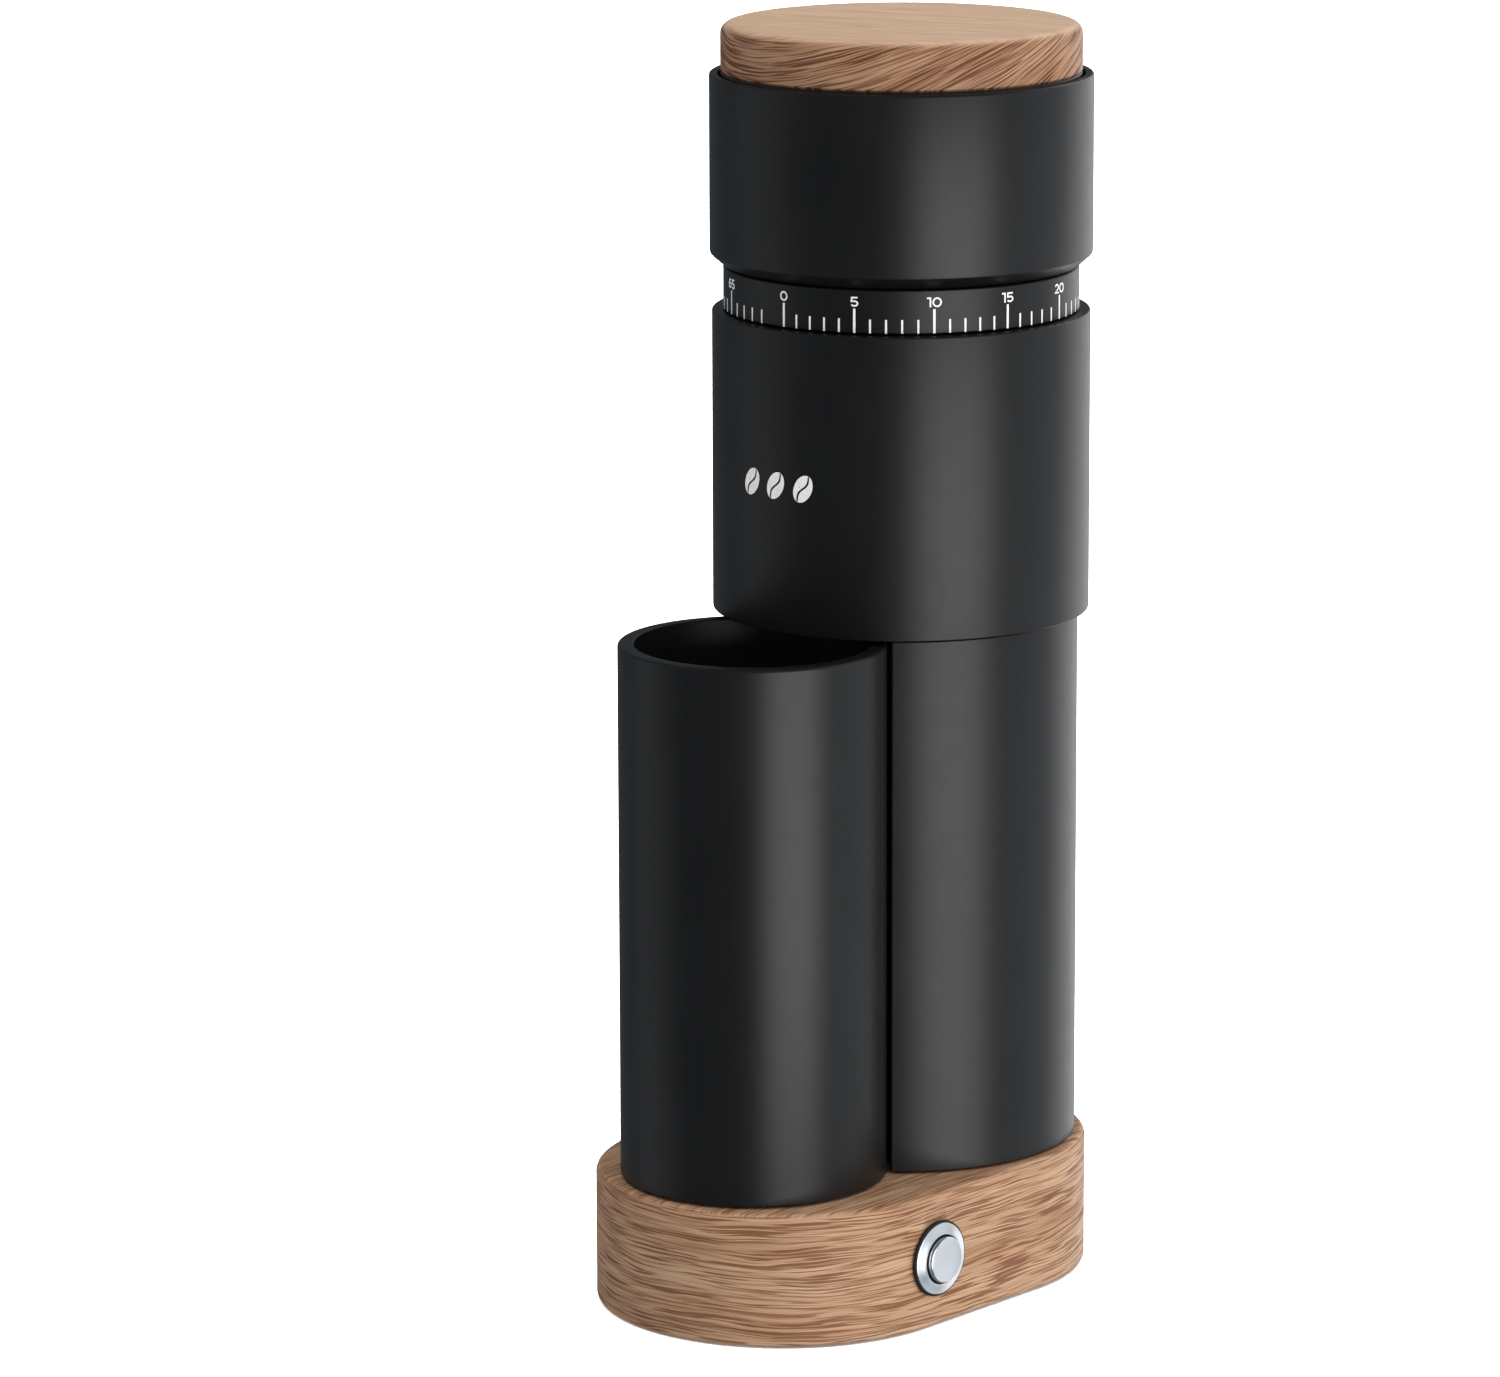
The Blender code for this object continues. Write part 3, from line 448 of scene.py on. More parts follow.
def cell_look():
    """Printed shrink wrap: a deep blue film with a slight ripple."""
    made = Nodes("cell_wrap")
    ripple = made.noise(made.place((200.0, 900.0, 900.0)), 1.0, 2.0)
    made.colour(made.ramp(ripple, (0.3, (0.02, 0.10, 0.22)), (0.7, (0.03, 0.14, 0.30))))
    made.rough(made.ramp(ripple, (0.3, 0.22), (0.7, 0.34)))
    made.bump(ripple, 0.2, 0.10 * MM)
    return made.material


# the wood's pale, mid and dark tones
BASE_TONES = ((0.485, 0.310, 0.188), (0.390, 0.222, 0.125), (0.160, 0.056, 0.023))
LID_SIDE_TONES = ((0.45, 0.258, 0.152), (0.325, 0.164, 0.080), (0.100, 0.028, 0.010))
# the lid top's tones are the lid's oak made paler: painted light for the light that falls on the top
LID_TOP_TONES_PAINTED_LIGHT = ((0.62, 0.430, 0.296), (0.55, 0.365, 0.240), (0.34, 0.19, 0.105))
LID_GRAIN_TURN = math.radians(-72)
LID_RISE_TURN = math.radians(-106)
LID_SLOPE = 0.46  # the steepest rise of the grain on the lid's side

BASE_EDGE = 1.3 * MM  # the radius of the base's top edge
LID_EDGE = 2.0 * MM
BASE_PERIMETER = math.tau * BASE_R + 2 * (BASE_NEAR_X - BASE_FAR_X)
LID_PERIMETER = math.tau * LID_R

OAK = wood_look(
    "oak_base", side=(BASE_TONES, 1.0, 0.055), top=(BASE_TONES, 0.9, 0.045), perimeter=BASE_PERIMETER, turn=0.0,
    edge=(BASE[1].z - 0.6 * BASE_EDGE, BASE[1].z + 0.8 * BASE_EDGE))
OAK_LID = wood_look(
    "oak_lid", side=(LID_SIDE_TONES, 1.0, 0.06), top=(LID_TOP_TONES_PAINTED_LIGHT, 0.6, 0.02), perimeter=LID_PERIMETER,
    turn=LID_GRAIN_TURN, edge=(LID[1].z - 0.5 * LID_EDGE, LID[1].z + 0.7 * LID_EDGE),
    rise=LID_R * LID_SLOPE, rise_turn=LID_RISE_TURN)
COAT = coat_look("black_coat", (0.0060, 0.0060, 0.0062), 0.40)
BLACK_PLASTIC = plastic_look("black_plastic", (0.014, 0.014, 0.015))
RUBBER = plastic_look("black_rubber", (0.006, 0.006, 0.006), 0.75)
PRINT = print_look()
SILICONE = silicone_look()
STEEL = metal_look("steel", (0.56, 0.56, 0.57), 0.30)
POLISHED = metal_look("polished_steel", (0.78, 0.79, 0.81), 0.24, along="Y", grain=0.0, lines=300.0)
BEZEL_STEEL = metal_look("bezel_steel", (0.70, 0.72, 0.75), 0.32, along="Y", grain=0.0, lines=300.0)
BURR_STEEL = metal_look("burr_steel", (0.66, 0.66, 0.67), 0.20)
GEAR_STEEL = metal_look("gear_steel", (0.36, 0.36, 0.37), 0.38)
BRASS = metal_look("brass", (0.70, 0.50, 0.20), 0.28)
NICKEL = metal_look("nickel_plating", (0.66, 0.65, 0.62), 0.16)
BOARD = board_look()
CELL = cell_look()
CABLE = plastic_look("red_sleeve", (0.30, 0.012, 0.010), 0.45)


# ---------------------------------------------------------------- wooden base and lid

def stadium(radius, steps=56, straight=14):
    """Two half circles joined by straight sides."""
    outline = []
    for centre, start in ((BASE_NEAR_X, -90), (BASE_FAR_X, 90)):
        for i in range(steps + 1):
            angle = math.radians(start + 180 * i / steps)
            outline.append((centre + radius * math.cos(angle), radius * math.sin(angle)))
        sign = 1 if start < 0 else -1
        for i in range(1, straight):
            x = centre + (BASE_FAR_X - BASE_NEAR_X) * sign * i / straight
            outline.append((x, sign * radius))
    return outline


def build_base():
    cover_gap = 0.3 * MM
    wall = (BASE[1].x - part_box("bottom_cover")[1].x) - cover_gap
    ceiling = BASE[1].z - 3.0 * MM
    edge = BASE_EDGE
    foot = 0.5 * MM
    top_rings = (2.5, 4.5, 7, 10, 14, 19, 25, 30, 34)
    button_r = 6.1 * MM
    rows = [(-wall, ceiling), (-wall, BASE[0].z)]
    rows += [(-foot, BASE[0].z), (-foot * 0.3, BASE[0].z + foot * 0.3), (0.0, BASE[0].z + foot)]
    rows += [(0.0, BASE[0].z + (BASE[1].z - edge - BASE[0].z) * k / 4) for k in (1, 2, 3)]
    rows += [(-edge * (1 - math.cos(a)), BASE[1].z - edge * (1 - math.sin(a)))
             for a in [math.radians(90 * k / 6) for k in range(7)]]
    rows += [(-ring * MM, BASE[1].z) for ring in top_rings]
    loops = [at(stadium(BASE_R + outset), height) for outset, height in rows]

    outline = stadium(BASE_R)
    along = [0.0]
    for here, there in zip(outline, outline[1:] + outline[:1]):
        along.append(along[-1] + math.dist(here, there))

    def grain(row, column):
        outset, height = rows[row]
        return along[column] / along[-1], height - outset

    base = skin("wooden_base", loops, grain=grain)
    hole = skin("button_hole", turned(((button_r, -6 * MM), (button_r, 2 * MM)), FINE))
    facing_button(hole)
    carve(base, hole)
    slot = rounded_bar("port_slot", 9.8 * MM, 4.0 * MM, -8 * MM, 2 * MM)
    facing_port(slot)
    carve(base, slot)
    finish(base, OAK, "base", "base_shell", slot="oak")


def build_lid():
    soft = 0.4 * MM
    seat = HOPPER[1].z + 0.3 * MM  # the wood's underside, just clear of the hopper's rim
    profile = [(LID_R * 0.5, seat), (LID_R - soft, seat), (LID_R, seat + soft)]
    profile += [(LID_R, seat + (LID[1].z - LID_EDGE - seat) * k / 3) for k in (1, 2)]
    profile += arc(LID_R - LID_EDGE, LID[1].z - LID_EDGE, LID_EDGE, 0, 90, 8)
    profile += [(LID_R * k, LID[1].z) for k in (0.75, 0.5, 0.25, 0.08)]

    def grain(row, column):
        radius, height = profile[row]
        return column / ROUND, height + LID_R - radius

    finish(skin("wooden_lid", turned(profile), grain=grain), OAK_LID, "lid", "lid_top", slot="oak")

    bottom = PLUG[0].z
    r = radius_of("lid_plug")
    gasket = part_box("lid_gasket")
    play = 0.25 * MM
    groove_low, groove_high = gasket[0].z - play, gasket[1].z + play
    groove_r = r - 1.6 * MM
    profile = [(r * 0.2, bottom + 0.8 * MM), (r - 4 * MM, bottom + 0.8 * MM), (r - 5 * MM, bottom),
               (r - 0.6 * MM, bottom), (r, bottom + 0.6 * MM), (r, groove_low), (groove_r, groove_low),
               (groove_r, groove_high), (r, groove_high), (r, seat - 0.3 * MM), (r - 0.3 * MM, seat)]
    finish(skin("lid_plug_body", turned(profile)), BLACK_PLASTIC, "lid", "lid_plug", slot="black_plastic")
    ring_r = radius_of("lid_gasket")
    low, high = gasket[0].z, gasket[1].z
    profile = [(ring_r - 1.5 * MM, low), (ring_r - 0.6 * MM, low)]
    profile += arc(ring_r - 0.5 * MM, low + (high - low) / 2, 0.5 * MM, -80, 80, 8)
    profile += [(ring_r - 0.6 * MM, high), (ring_r - 1.5 * MM, high)]
    finish(skin("lid_seal_ring", turned(profile), closed=True), SILICONE, "lid", "lid_gasket", slot="silicone")


# ---------------------------------------------------------------- black shells

def build_hopper():
    top, bottom = HOPPER[1].z, HOPPER[0].z
    wall = 1.6 * MM
    inner = HOPPER_R - wall
    ledge = LID[0].z - 5.0 * MM
    edge = 0.45 * MM
    chamfer_top = bottom + 2.15 * MM
    soft = 0.35 * MM
    bore = 28.0 * MM
    shelf = inner - 2.2 * MM
    shelf_top, shelf_foot = 196.0 * MM, 193.0 * MM  # the heights between which it narrows to the bore
    profile = [(bore, bottom), (DIAL_R - 0.2 * MM, bottom), (DIAL_R + 0.1 * MM, bottom + 0.08 * MM)]
    profile += [(HOPPER_R - soft, chamfer_top - soft * 0.8), (HOPPER_R - soft * 0.3, chamfer_top - soft * 0.1),
                (HOPPER_R, chamfer_top + soft)]
    profile += arc(HOPPER_R - edge, top - edge, edge, 0, 90, 5)
    profile += arc(inner + edge * 0.6, top - edge * 0.6, edge * 0.6, 90, 180, 4)
    profile += [(inner, ledge), (shelf, ledge), (shelf, shelf_top), (bore, shelf_foot)]
    finish(skin("hopper_shell", turned(profile), closed=True), COAT, "dial", "hopper_body", slot="black_coat")

    low, high = FUNNEL
    neck = 21.0 * MM
    profile = [(31.3 * MM, high.z - 1.4 * MM), (31.3 * MM, high.z - 0.3 * MM), (31.0 * MM, high.z),
               (30.6 * MM, high.z - 0.2 * MM)]
    profile += [(neck + 0.5 * MM, 190.0 * MM), (neck, 188.8 * MM), (neck, low.z + 0.3 * MM), (neck + 0.3 * MM, low.z)]
    profile += [(neck + 1.4 * MM, low.z), (neck + 1.4 * MM, 188.0 * MM), (27.6 * MM, 196.6 * MM)]
    finish(skin("bean_funnel", turned(profile), closed=True), BLACK_PLASTIC, "dial", "hopper_funnel",
           slot="black_plastic")


def build_dial():
    low, high = DIAL
    inner = 27.3 * MM
    edge = 0.2 * MM
    profile = [(inner, low.z), (DIAL_R - edge, low.z), (DIAL_R, low.z + edge), (DIAL_R, high.z - edge),
               (DIAL_R - edge, high.z), (inner, high.z)]
    finish(skin("dial_band", turned(profile), closed=True), COAT, "dial", "dial_ring", slot="black_coat")


def build_head():
    top, bottom = HEAD[1].z, HEAD[0].z
    inner = HEAD_R - 2.2 * MM
    floor = bottom + 3.0 * MM
    bore = 7.5 * MM
    edge = 0.35 * MM
    below, above = 0.12, 0.131  # heights that the cuts through the floor reach past
    profile = [(bore, floor), (inner, floor), (inner, top)]
    profile += arc(HEAD_R - edge, top - edge, edge, 90, 0, 5)
    profile += arc(HEAD_R - 0.25 * MM, bottom + 0.25 * MM, 0.25 * MM, 0, -90, 4)
    profile += [(bore, bottom)]
    head = skin("head_shell", turned(profile), closed=True)
    chute = rounded(9 * MM, 14 * MM, 2 * MM, (-26.5 * MM, 0.0))
    carve(head, skin("chute_cut", [at(chute, below), at(chute, above)]))
    shank, screw_head, seat = 1.7 * MM, 2.9 * MM, bottom + 1.1 * MM
    hole = ((shank, below), (shank, seat), (screw_head, seat), (screw_head, above))
    for number in (1, 2):
        spot = middle(f"head_screw_{number}")
        carve(head, skin("screw_cut", turned(hole, FINE, (spot.x, spot.y))))
    finish(head, COAT, "base", "head_housing", slot="black_coat")


def rounded(size_x, size_y, corner, centre=(0.0, 0.0), steps=5):
    """A rectangle with round corners."""
    points = []
    for quarter, (sx, sy) in enumerate(((1, 1), (-1, 1), (-1, -1), (1, -1))):
        for i in range(steps + 1):
            angle = math.radians(90 * quarter + 90 * i / steps)
            points.append((centre[0] + sx * (size_x / 2 - corner) + corner * math.cos(angle),
                           centre[1] + sy * (size_y / 2 - corner) + corner * math.sin(angle)))
    return points


def crescent(radius, notch, corner, steps=110, notch_steps=60):
    """A circle about the burr axis less a circle about the cup's axis, with its two points rounded off."""
    distance = -CUP_X
    reach = (radius**2 - notch**2 + distance**2) / (2 * distance)
    half = math.acos(-reach / radius) - corner / radius
    notch_half = math.asin(radius * math.sin(math.acos(-reach / radius)) / notch) - corner / notch
    outside = [half - 2 * half * i / steps for i in range(steps + 1)]
    inside = [-notch_half + 2 * notch_half * i / notch_steps for i in range(notch_steps + 1)]
    points = [(radius * math.cos(a), radius * math.sin(a)) for a in outside]
    points += [(CUP_X + notch * math.cos(a), notch * math.sin(a)) for a in inside]
    return points


def build_tower():
    low, high = TOWER[0].z, TOWER[1].z
    notch = 25.3 * MM
    wall = 2.0 * MM
    edge = 0.3 * MM
    corner = 0.35 * MM
    rows = [(wall, low), (wall, high), (edge, high), (0.0, high - edge), (0.0, low + edge), (edge, low)]
    loops = [at(crescent(TOWER_R - inset, notch + inset, corner + inset * 0.5), height) for inset, height in rows]
    finish(skin("tower_shell", loops, closed=True), COAT, "base", "tower_tube", slot="black_coat")


def build_cup():
    low, high = CUP[0].z, CUP[1].z
    inner = CUP_R - 3.0 * MM
    floor = low + 4.0 * MM
    rim = 0.6 * MM
    profile = [(inner * 0.1, floor)] + arc(inner - 2 * MM, floor + 2 * MM, 2 * MM, -90, 0, 6)
    profile += arc(inner + 0.3 * MM, high - 0.3 * MM, 0.3 * MM, 180, 90, 4)
    profile += arc(CUP_R - rim, high - rim, rim, 90, 0, 6)
    profile += arc(CUP_R - 0.5 * MM, low + 0.5 * MM, 0.5 * MM, 0, -90, 5)
    profile += [(CUP_R * 0.1, low)]
    cup = skin("cup_shell", turned(profile, ROUND, (CUP_X, 0.0)))
    spot = middle("cup_magnet")
    pocket_r, below = 5.4 * MM, 0.02
    pocket = skin("magnet_cut", turned(((pocket_r, below), (pocket_r, low + 2.4 * MM)), FINE, (spot.x, spot.y)))
    carve(cup, pocket)
    finish(cup, COAT, "cup", "grounds_cup", slot="black_coat")


# ---------------------------------------------------------------- button and charging port


def build_button():
    """The seal, bezel and cap, each turned about +Z with 0 at the base's side, and the return spring."""
    seal_out, seal_in = 7.05 * MM, 6.76 * MM
    profile = [(seal_in, 0.2 * MM), (seal_out - 0.1 * MM, 0.2 * MM), (seal_out, 0.3 * MM), (seal_out, 0.55 * MM),
               (seal_out - 0.1 * MM, 0.68 * MM), (seal_in + 0.05 * MM, 0.7 * MM), (seal_in, 0.65 * MM)]
    seal = skin("button_seal_ring", turned(profile, MEDIUM), closed=True)
    facing_button(seal)
    finish(seal, RUBBER, "base", "button_seal", slot="rubber")

    flange, well = 6.7 * MM, 4.6 * MM
    centre = 0.4 * MM
    lip, lip_r = 1.32 * MM, 0.18 * MM
    profile = [(centre, -6.0 * MM), (well, -6.0 * MM), (well, lip)]
    profile += arc(well + lip_r, lip, lip_r, 180, 70, 5)
    profile += [(5.2 * MM, 1.36 * MM), (5.7 * MM, 1.17 * MM), (flange - 0.30 * MM, 0.93 * MM)]
    profile += arc(flange - 0.22 * MM, 0.68 * MM, 0.22 * MM, 68, 0, 5)
    profile += [(flange, 0.3 * MM), (5.8 * MM, 0.3 * MM), (5.8 * MM, -9.0 * MM), (centre, -9.0 * MM)]
    bezel = skin("button_ring", turned(profile, MEDIUM), smooth=35)
    facing_button(bezel)
    finish(bezel, BEZEL_STEEL, "base", "button_bezel", slot="polished_steel")

    r = 4.3 * MM
    face = BUTTON_FACE_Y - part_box("button_cap")[0].y
    edge = 0.35 * MM
    profile = [(centre, -3.0 * MM), (r - 0.2 * MM, -3.0 * MM), (r, -2.8 * MM), (r, face - 0.4 * MM)]
    profile += arc(r - edge, face - edge, edge, 0, 90, 6)
    profile += [(r * 0.6, face), (r * 0.3, face)]
    cap = skin("button_face", turned(profile, MEDIUM))
    facing_button(cap)
    finish(cap, POLISHED, "button", "button_cap", slot="polished_steel")

    low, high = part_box("button_spring")
    wire, turns, steps = 0.2 * MM, 3, 72
    length = high.y - low.y
    coil_r = (high.z - low.z) / 2 - wire
    deep = BUTTON_FACE_Y - high.y
    loops = []
    for i in range(steps + 1):
        turn = math.tau * turns * i / steps
        rise = deep + wire + (length - 2 * wire) * i / steps
        loops.append([((coil_r + u) * math.cos(turn), (coil_r + u) * math.sin(turn), rise + v)
                      for u, v in circle(wire, 8)])
    coil = skin("return_spring", loops, smooth=60)
    facing_button(coil)
    finish(coil, STEEL, "base", "button_spring", slot="steel")
    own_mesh(coil)


def rounded_bar(name, width, height, low, high):
    """A bar with an oblong section: local X is up and Y is across."""
    outline = rounded(height, width, height / 2 - 0.01 * MM)
    return skin(name, [at(outline, low), at(outline, high)])


def facing_port(piece):
    piece.data.transform(Matrix.Rotation(math.radians(90), 4, "Y"))
    piece.data.transform(Matrix.Translation((BASE[1].x, PORT.y, PORT.z)))


def build_port():
    low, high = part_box("charging_port")
    depth = high.x - low.x
    face = BASE[1].x - high.x
    wide = rounded(3.2 * MM, 8.9 * MM, 1.55 * MM)
    narrow = rounded(2.6 * MM, 8.3 * MM, 1.27 * MM)
    loops = [at(narrow, -face - depth + 1.4 * MM), at(narrow, -face), at(wide, -face), at(wide, -face - depth)]
    shell = skin("port_shell", loops)
    facing_port(shell)
    finish(shell, STEEL, "base", "charging_port", slot="steel")
    outline = rounded(0.7 * MM, 6.7 * MM, 0.2 * MM)
    tongue = skin("port_tongue", [at(outline, -face - depth + 1.5 * MM), at(outline, -face - 0.6 * MM)])
    facing_port(tongue)
    finish(tongue, BLACK_PLASTIC, "base", slot="black_plastic")


# ---------------------------------------------------------------- printed scale and mark

def wrap(vertices, radius, angle, height):
    """Lays flat work (x right, y up, z out) on a cylinder about the burr axis, centred at that angle."""
    placed = []
    for x, y, z in vertices:
        turn = angle + x / radius
        placed.append(((radius + z) * math.cos(turn), (radius + z) * math.sin(turn), height + y))
    return placed


def slab(outline, thickness):
    """A thin closed plate: its vertices and faces, from an outline in order."""
    count = len(outline)
    vertices = [(x, y, 0.0) for x, y in outline] + [(x, y, thickness) for x, y in outline]
    faces = [tuple(reversed(range(count))), tuple(range(count, 2 * count))]
    faces += [(i, (i + 1) % count, count + (i + 1) % count, count + i) for i in range(count)]
    return vertices, faces


def bow(centre_x, centre_y, wide, high, start, end, steps=14):
    """Points of an arc of an ellipse, from the start angle to the end, in degrees."""
    angles = [math.radians(start + (end - start) * i / steps) for i in range(steps + 1)]
    return [(centre_x + wide * math.cos(a), centre_y + high * math.sin(a)) for a in angles]


# each digit on a height of 1, centred on X: its width, and its strokes as (closed, points)
DIGITS = {
    "0": (0.96, [(True, bow(0.0, 0.5, 0.395, 0.415, 0, 360, 24)[:-1])]),
    "1": (0.44, [(False, [(-0.22, 0.915), (0.135, 0.915), (0.135, 0.0)])]),
    "2": (0.82, [(False, bow(0.0, 0.64, 0.30, 0.275, 160, -30) + [(-0.33, 0.085), (0.40, 0.085)])]),
    "3": (0.82, [(False, [(-0.34, 0.915), (0.29, 0.915), (-0.03, 0.575)]
                  + bow(0.0, 0.335, 0.33, 0.25, 80, -150))]),
    "4": (0.94, [(False, [(0.10, 1.0), (-0.36, 0.27), (0.45, 0.27)]), (False, [(0.18, 0.50), (0.18, 0.0)])]),
    "5": (0.84, [(False, [(0.33, 0.915), (-0.25, 0.915), (-0.29, 0.545)]
                  + bow(0.0, 0.325, 0.335, 0.24, 80, -150))]),
    "6": (0.84, [(True, bow(0.0, 0.325, 0.335, 0.24, 0, 360, 20)[:-1]),
                 (False, bow(0.09, 0.44, 0.425, 0.475, 62, 180) + [(-0.335, 0.325)])]),
}
DIGIT_GAP = 0.11
STROKE = 0.165
LONGEST_MITRE = 1.5
CROSSING_RAISE = 0.05  # a digit's second stroke is this much thicker, so that the two tops don't coincide


def ribbon(points, closed, width, low, high):
    """A stroke of even width along points: its vertices and faces, a closed body between two heights."""
    count = len(points)
    vertices = []
    for i, (x, y) in enumerate(points):
        steps = []
        if closed or i > 0:
            steps.append((points[i - 1], (x, y)))
        if closed or i < count - 1:
            steps.append(((x, y), points[(i + 1) % count]))
        sides = [Vector((a[1] - b[1], b[0] - a[0])).normalized() for a, b in steps]
        side = sum(sides, Vector((0.0, 0.0))).normalized()
        reach = min(LONGEST_MITRE, 1 / max(0.1, side.dot(sides[0]))) * width / 2
        left, right = (x + side.x * reach, y + side.y * reach), (x - side.x * reach, y - side.y * reach)
        vertices += [(*left, low), (*right, low), (*right, high), (*left, high)]
    faces = []
    for i in range(count if closed else count - 1):
        here, there = 4 * i, 4 * ((i + 1) % count)
        faces += [(here + k, here + (k + 1) % 4, there + (k + 1) % 4, there + k) for k in range(4)]
    if not closed:
        faces += [(0, 1, 2, 3), (4 * count - 1, 4 * count - 2, 4 * count - 3, 4 * count - 4)]
    return vertices, faces


def numeral(text, height, thickness):
    """The strokes of a number, centred, each as vertices and faces."""
    widths = [DIGITS[digit][0] for digit in text]
    left = -(sum(widths) + DIGIT_GAP * (len(text) - 1)) / 2
    strokes = []
    for digit, width in zip(text, widths):
        for order, (closed, points) in enumerate(DIGITS[digit][1]):
            placed = [((left + width / 2 + x) * height, y * height) for x, y in points]
            top = thickness * (1 + CROSSING_RAISE * order)
            strokes.append(ribbon(placed, closed, STROKE * height, 0.0, top))
        left += width + DIGIT_GAP
    return strokes


def printed(name, parts, body):
    """One printed piece from parts of vertices and faces."""
    vertices, faces = [], []
    for part_vertices, part_faces in parts:
        shift = len(vertices)
        vertices += part_vertices
        faces += [tuple(i + shift for i in face) for face in part_faces]
    mesh = bpy.data.meshes.new(name)
    mesh.from_pydata(vertices, [], faces)
    builder = bmesh.new()
    builder.from_mesh(mesh)
    bmesh.ops.remove_doubles(builder, verts=builder.verts, dist=1e-7)
    bmesh.ops.recalc_face_normals(builder, faces=builder.faces)
    builder.to_mesh(mesh)
    builder.free()
    finish(linked(name, mesh), PRINT, body)


SCALE_STEPS = 71
SCALE_TURN = math.radians(0.5)  # from the cup's side to the first mark
LONG_TICK = (4.4 * MM, 0.44 * MM)  # height and width
SHORT_TICK = (2.5 * MM, 0.36 * MM)
TICK_RISE = 0.12 * MM
NUMERAL_HEIGHT = 1.82 * MM
NUMERAL_RISE = 4.75 * MM  # above the ticks' feet
BEAN_LENGTH, BEAN_WIDTH, BEAN_STEP = 5.4 * MM, 3.7 * MM, 6.2 * MM
BEAN_TILT = math.radians(62)
MARK_RISE = 27.3 * MM  # above the head's foot
INK = 0.05 * MM
INK_SINK = 0.02 * MM


def build_scale():
    """The dial's marks: one for each step but the last, long and numbered at every fifth."""
    parts = []
    radius = DIAL_R - INK_SINK
    foot = DIAL[0].z + TICK_RISE
    for step in range(SCALE_STEPS - 1):
        angle = math.pi + SCALE_TURN + math.tau * step / SCALE_STEPS
        numbered = step % 5 == 0
        tall, wide = LONG_TICK if numbered else SHORT_TICK
        outline = [(-wide / 2, 0.0), (wide / 2, 0.0), (wide / 2, tall), (-wide / 2, tall)]
        vertices, faces = slab(outline, INK)
        parts.append((wrap(vertices, radius, angle, foot), faces))
        if numbered:
            for vertices, faces in numeral(str(step), NUMERAL_HEIGHT, INK):
                parts.append((wrap(vertices, radius, angle, foot + NUMERAL_RISE), faces))
    printed("dial_scale", parts, "dial")


def bean_outline(length, width, side, steps=18):
    """Half a bean, split along its S-shaped crease: side is 1 or -1."""
    sway, half_gap = 0.11 * width, 0.055 * width
    crease = []
    for i in range(steps + 1):
        t = i / steps
        crease.append((length * (t - 0.5) * 0.94, sway * math.sin(math.tau * t) + side * half_gap))
    rim = []
    for i in range(steps + 1):
        angle = math.pi * (1 - i / steps)
        rim.append((length / 2 * math.cos(angle), side * width / 2 * math.sin(angle)))
    return crease + list(reversed(rim))


def build_mark():
    """A plain printed mark on the head's front: three coffee beans in a row."""
    parts = []
    cos, sin = math.cos(BEAN_TILT), math.sin(BEAN_TILT)
    for number in (-1, 0, 1):
        for side in (1, -1):
            outline = [(x * cos - y * sin + number * BEAN_STEP, x * sin + y * cos)
                       for x, y in bean_outline(BEAN_LENGTH, BEAN_WIDTH, side)]
            vertices, faces = slab(outline, INK)
            parts.append((wrap(vertices, HEAD_R - INK_SINK, math.pi, HEAD[0].z + MARK_RISE), faces))
    printed("bean_mark", parts, "base")


# ---------------------------------------------------------------- burrs

def build_inner_burr():
    """Eight deep blades that spiral and flare, split into fine teeth near the base."""
    low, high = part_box("inner_burr")
    blades, per_blade, levels = 8, 24, 26
    top_r, base_r = 7.2 * MM, 16.9 * MM
    loops = []
    for level in range(levels + 1):
        t = level / levels
        mean = base_r - (base_r - top_r) * t**1.5
        depth = 0.05 + 0.30 * t
        fine = 0.035 * max(0.0, 1 - t / 0.45)
        twist = math.radians(55) * t
        loop = []
        for i in range(blades * per_blade):
            saw = (i % per_blade) / per_blade
            teeth = (i % (per_blade // 4)) / (per_blade // 4)
            radius = mean * (1 - depth * saw**1.3 - fine * teeth)
            angle = math.tau * i / (blades * per_blade) + twist
            loop.append((radius * math.cos(angle), radius * math.sin(angle), low.z + (high.z - low.z) * t))
        loops.append(loop)
    burr = skin("cone_burr", loops, smooth=20)
    bore, below, above = 3.3 * MM, 0.13, 0.17
    carve(burr, skin("bore_cut", turned(((bore, below), (bore, above)), FINE)))
    finish(burr, BURR_STEEL, "burr", "inner_burr", slot="steel")


def build_ring_burr():
    """A ring whose inside has saw teeth and opens upwards."""
    low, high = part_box("ring_burr")
    outer = radius_of("ring_burr")
    narrow, opening, tooth = 18.4, 3.6, 0.9  # in millimetres
    teeth, per_tooth, levels = 24, 8, 8
    count = teeth * per_tooth
    soft = 0.4 * MM
    loops = [at(circle(outer - soft, count), low.z), at(circle(outer, count), low.z + soft),
             at(circle(outer, count), high.z - soft), at(circle(outer - soft, count), high.z)]
    for level in range(levels + 1):
        t = 1 - level / levels
        mean = (narrow + opening * t) * MM
        loop = []
        for i in range(count):
            saw = (i % per_tooth) / per_tooth
            radius = mean + (saw - 0.5) * tooth * MM
            angle = math.tau * i / count - math.radians(10) * t
            loop.append((radius * math.cos(angle), radius * math.sin(angle), low.z + (high.z - low.z) * t))
        loops.append(loop)
    finish(skin("outer_burr", loops, closed=True, smooth=20), BURR_STEEL, "burr_holder", "ring_burr", slot="steel")


# ---------------------------------------------------------------- carried-over CAD nodes

LOOKS = {
    "black_plastic": BLACK_PLASTIC,
    "rubber": RUBBER,
    "silicone": SILICONE,
    "polished_steel": POLISHED,
    "steel": STEEL,
    "gear_steel": GEAR_STEEL,
    "brass": BRASS,
    "board": BOARD,
    "cell_wrap": CELL,
    "magnet": NICKEL,
    "cable_sleeve": CABLE,
    "oak": OAK_LID,
    "black_coat": COAT,
}


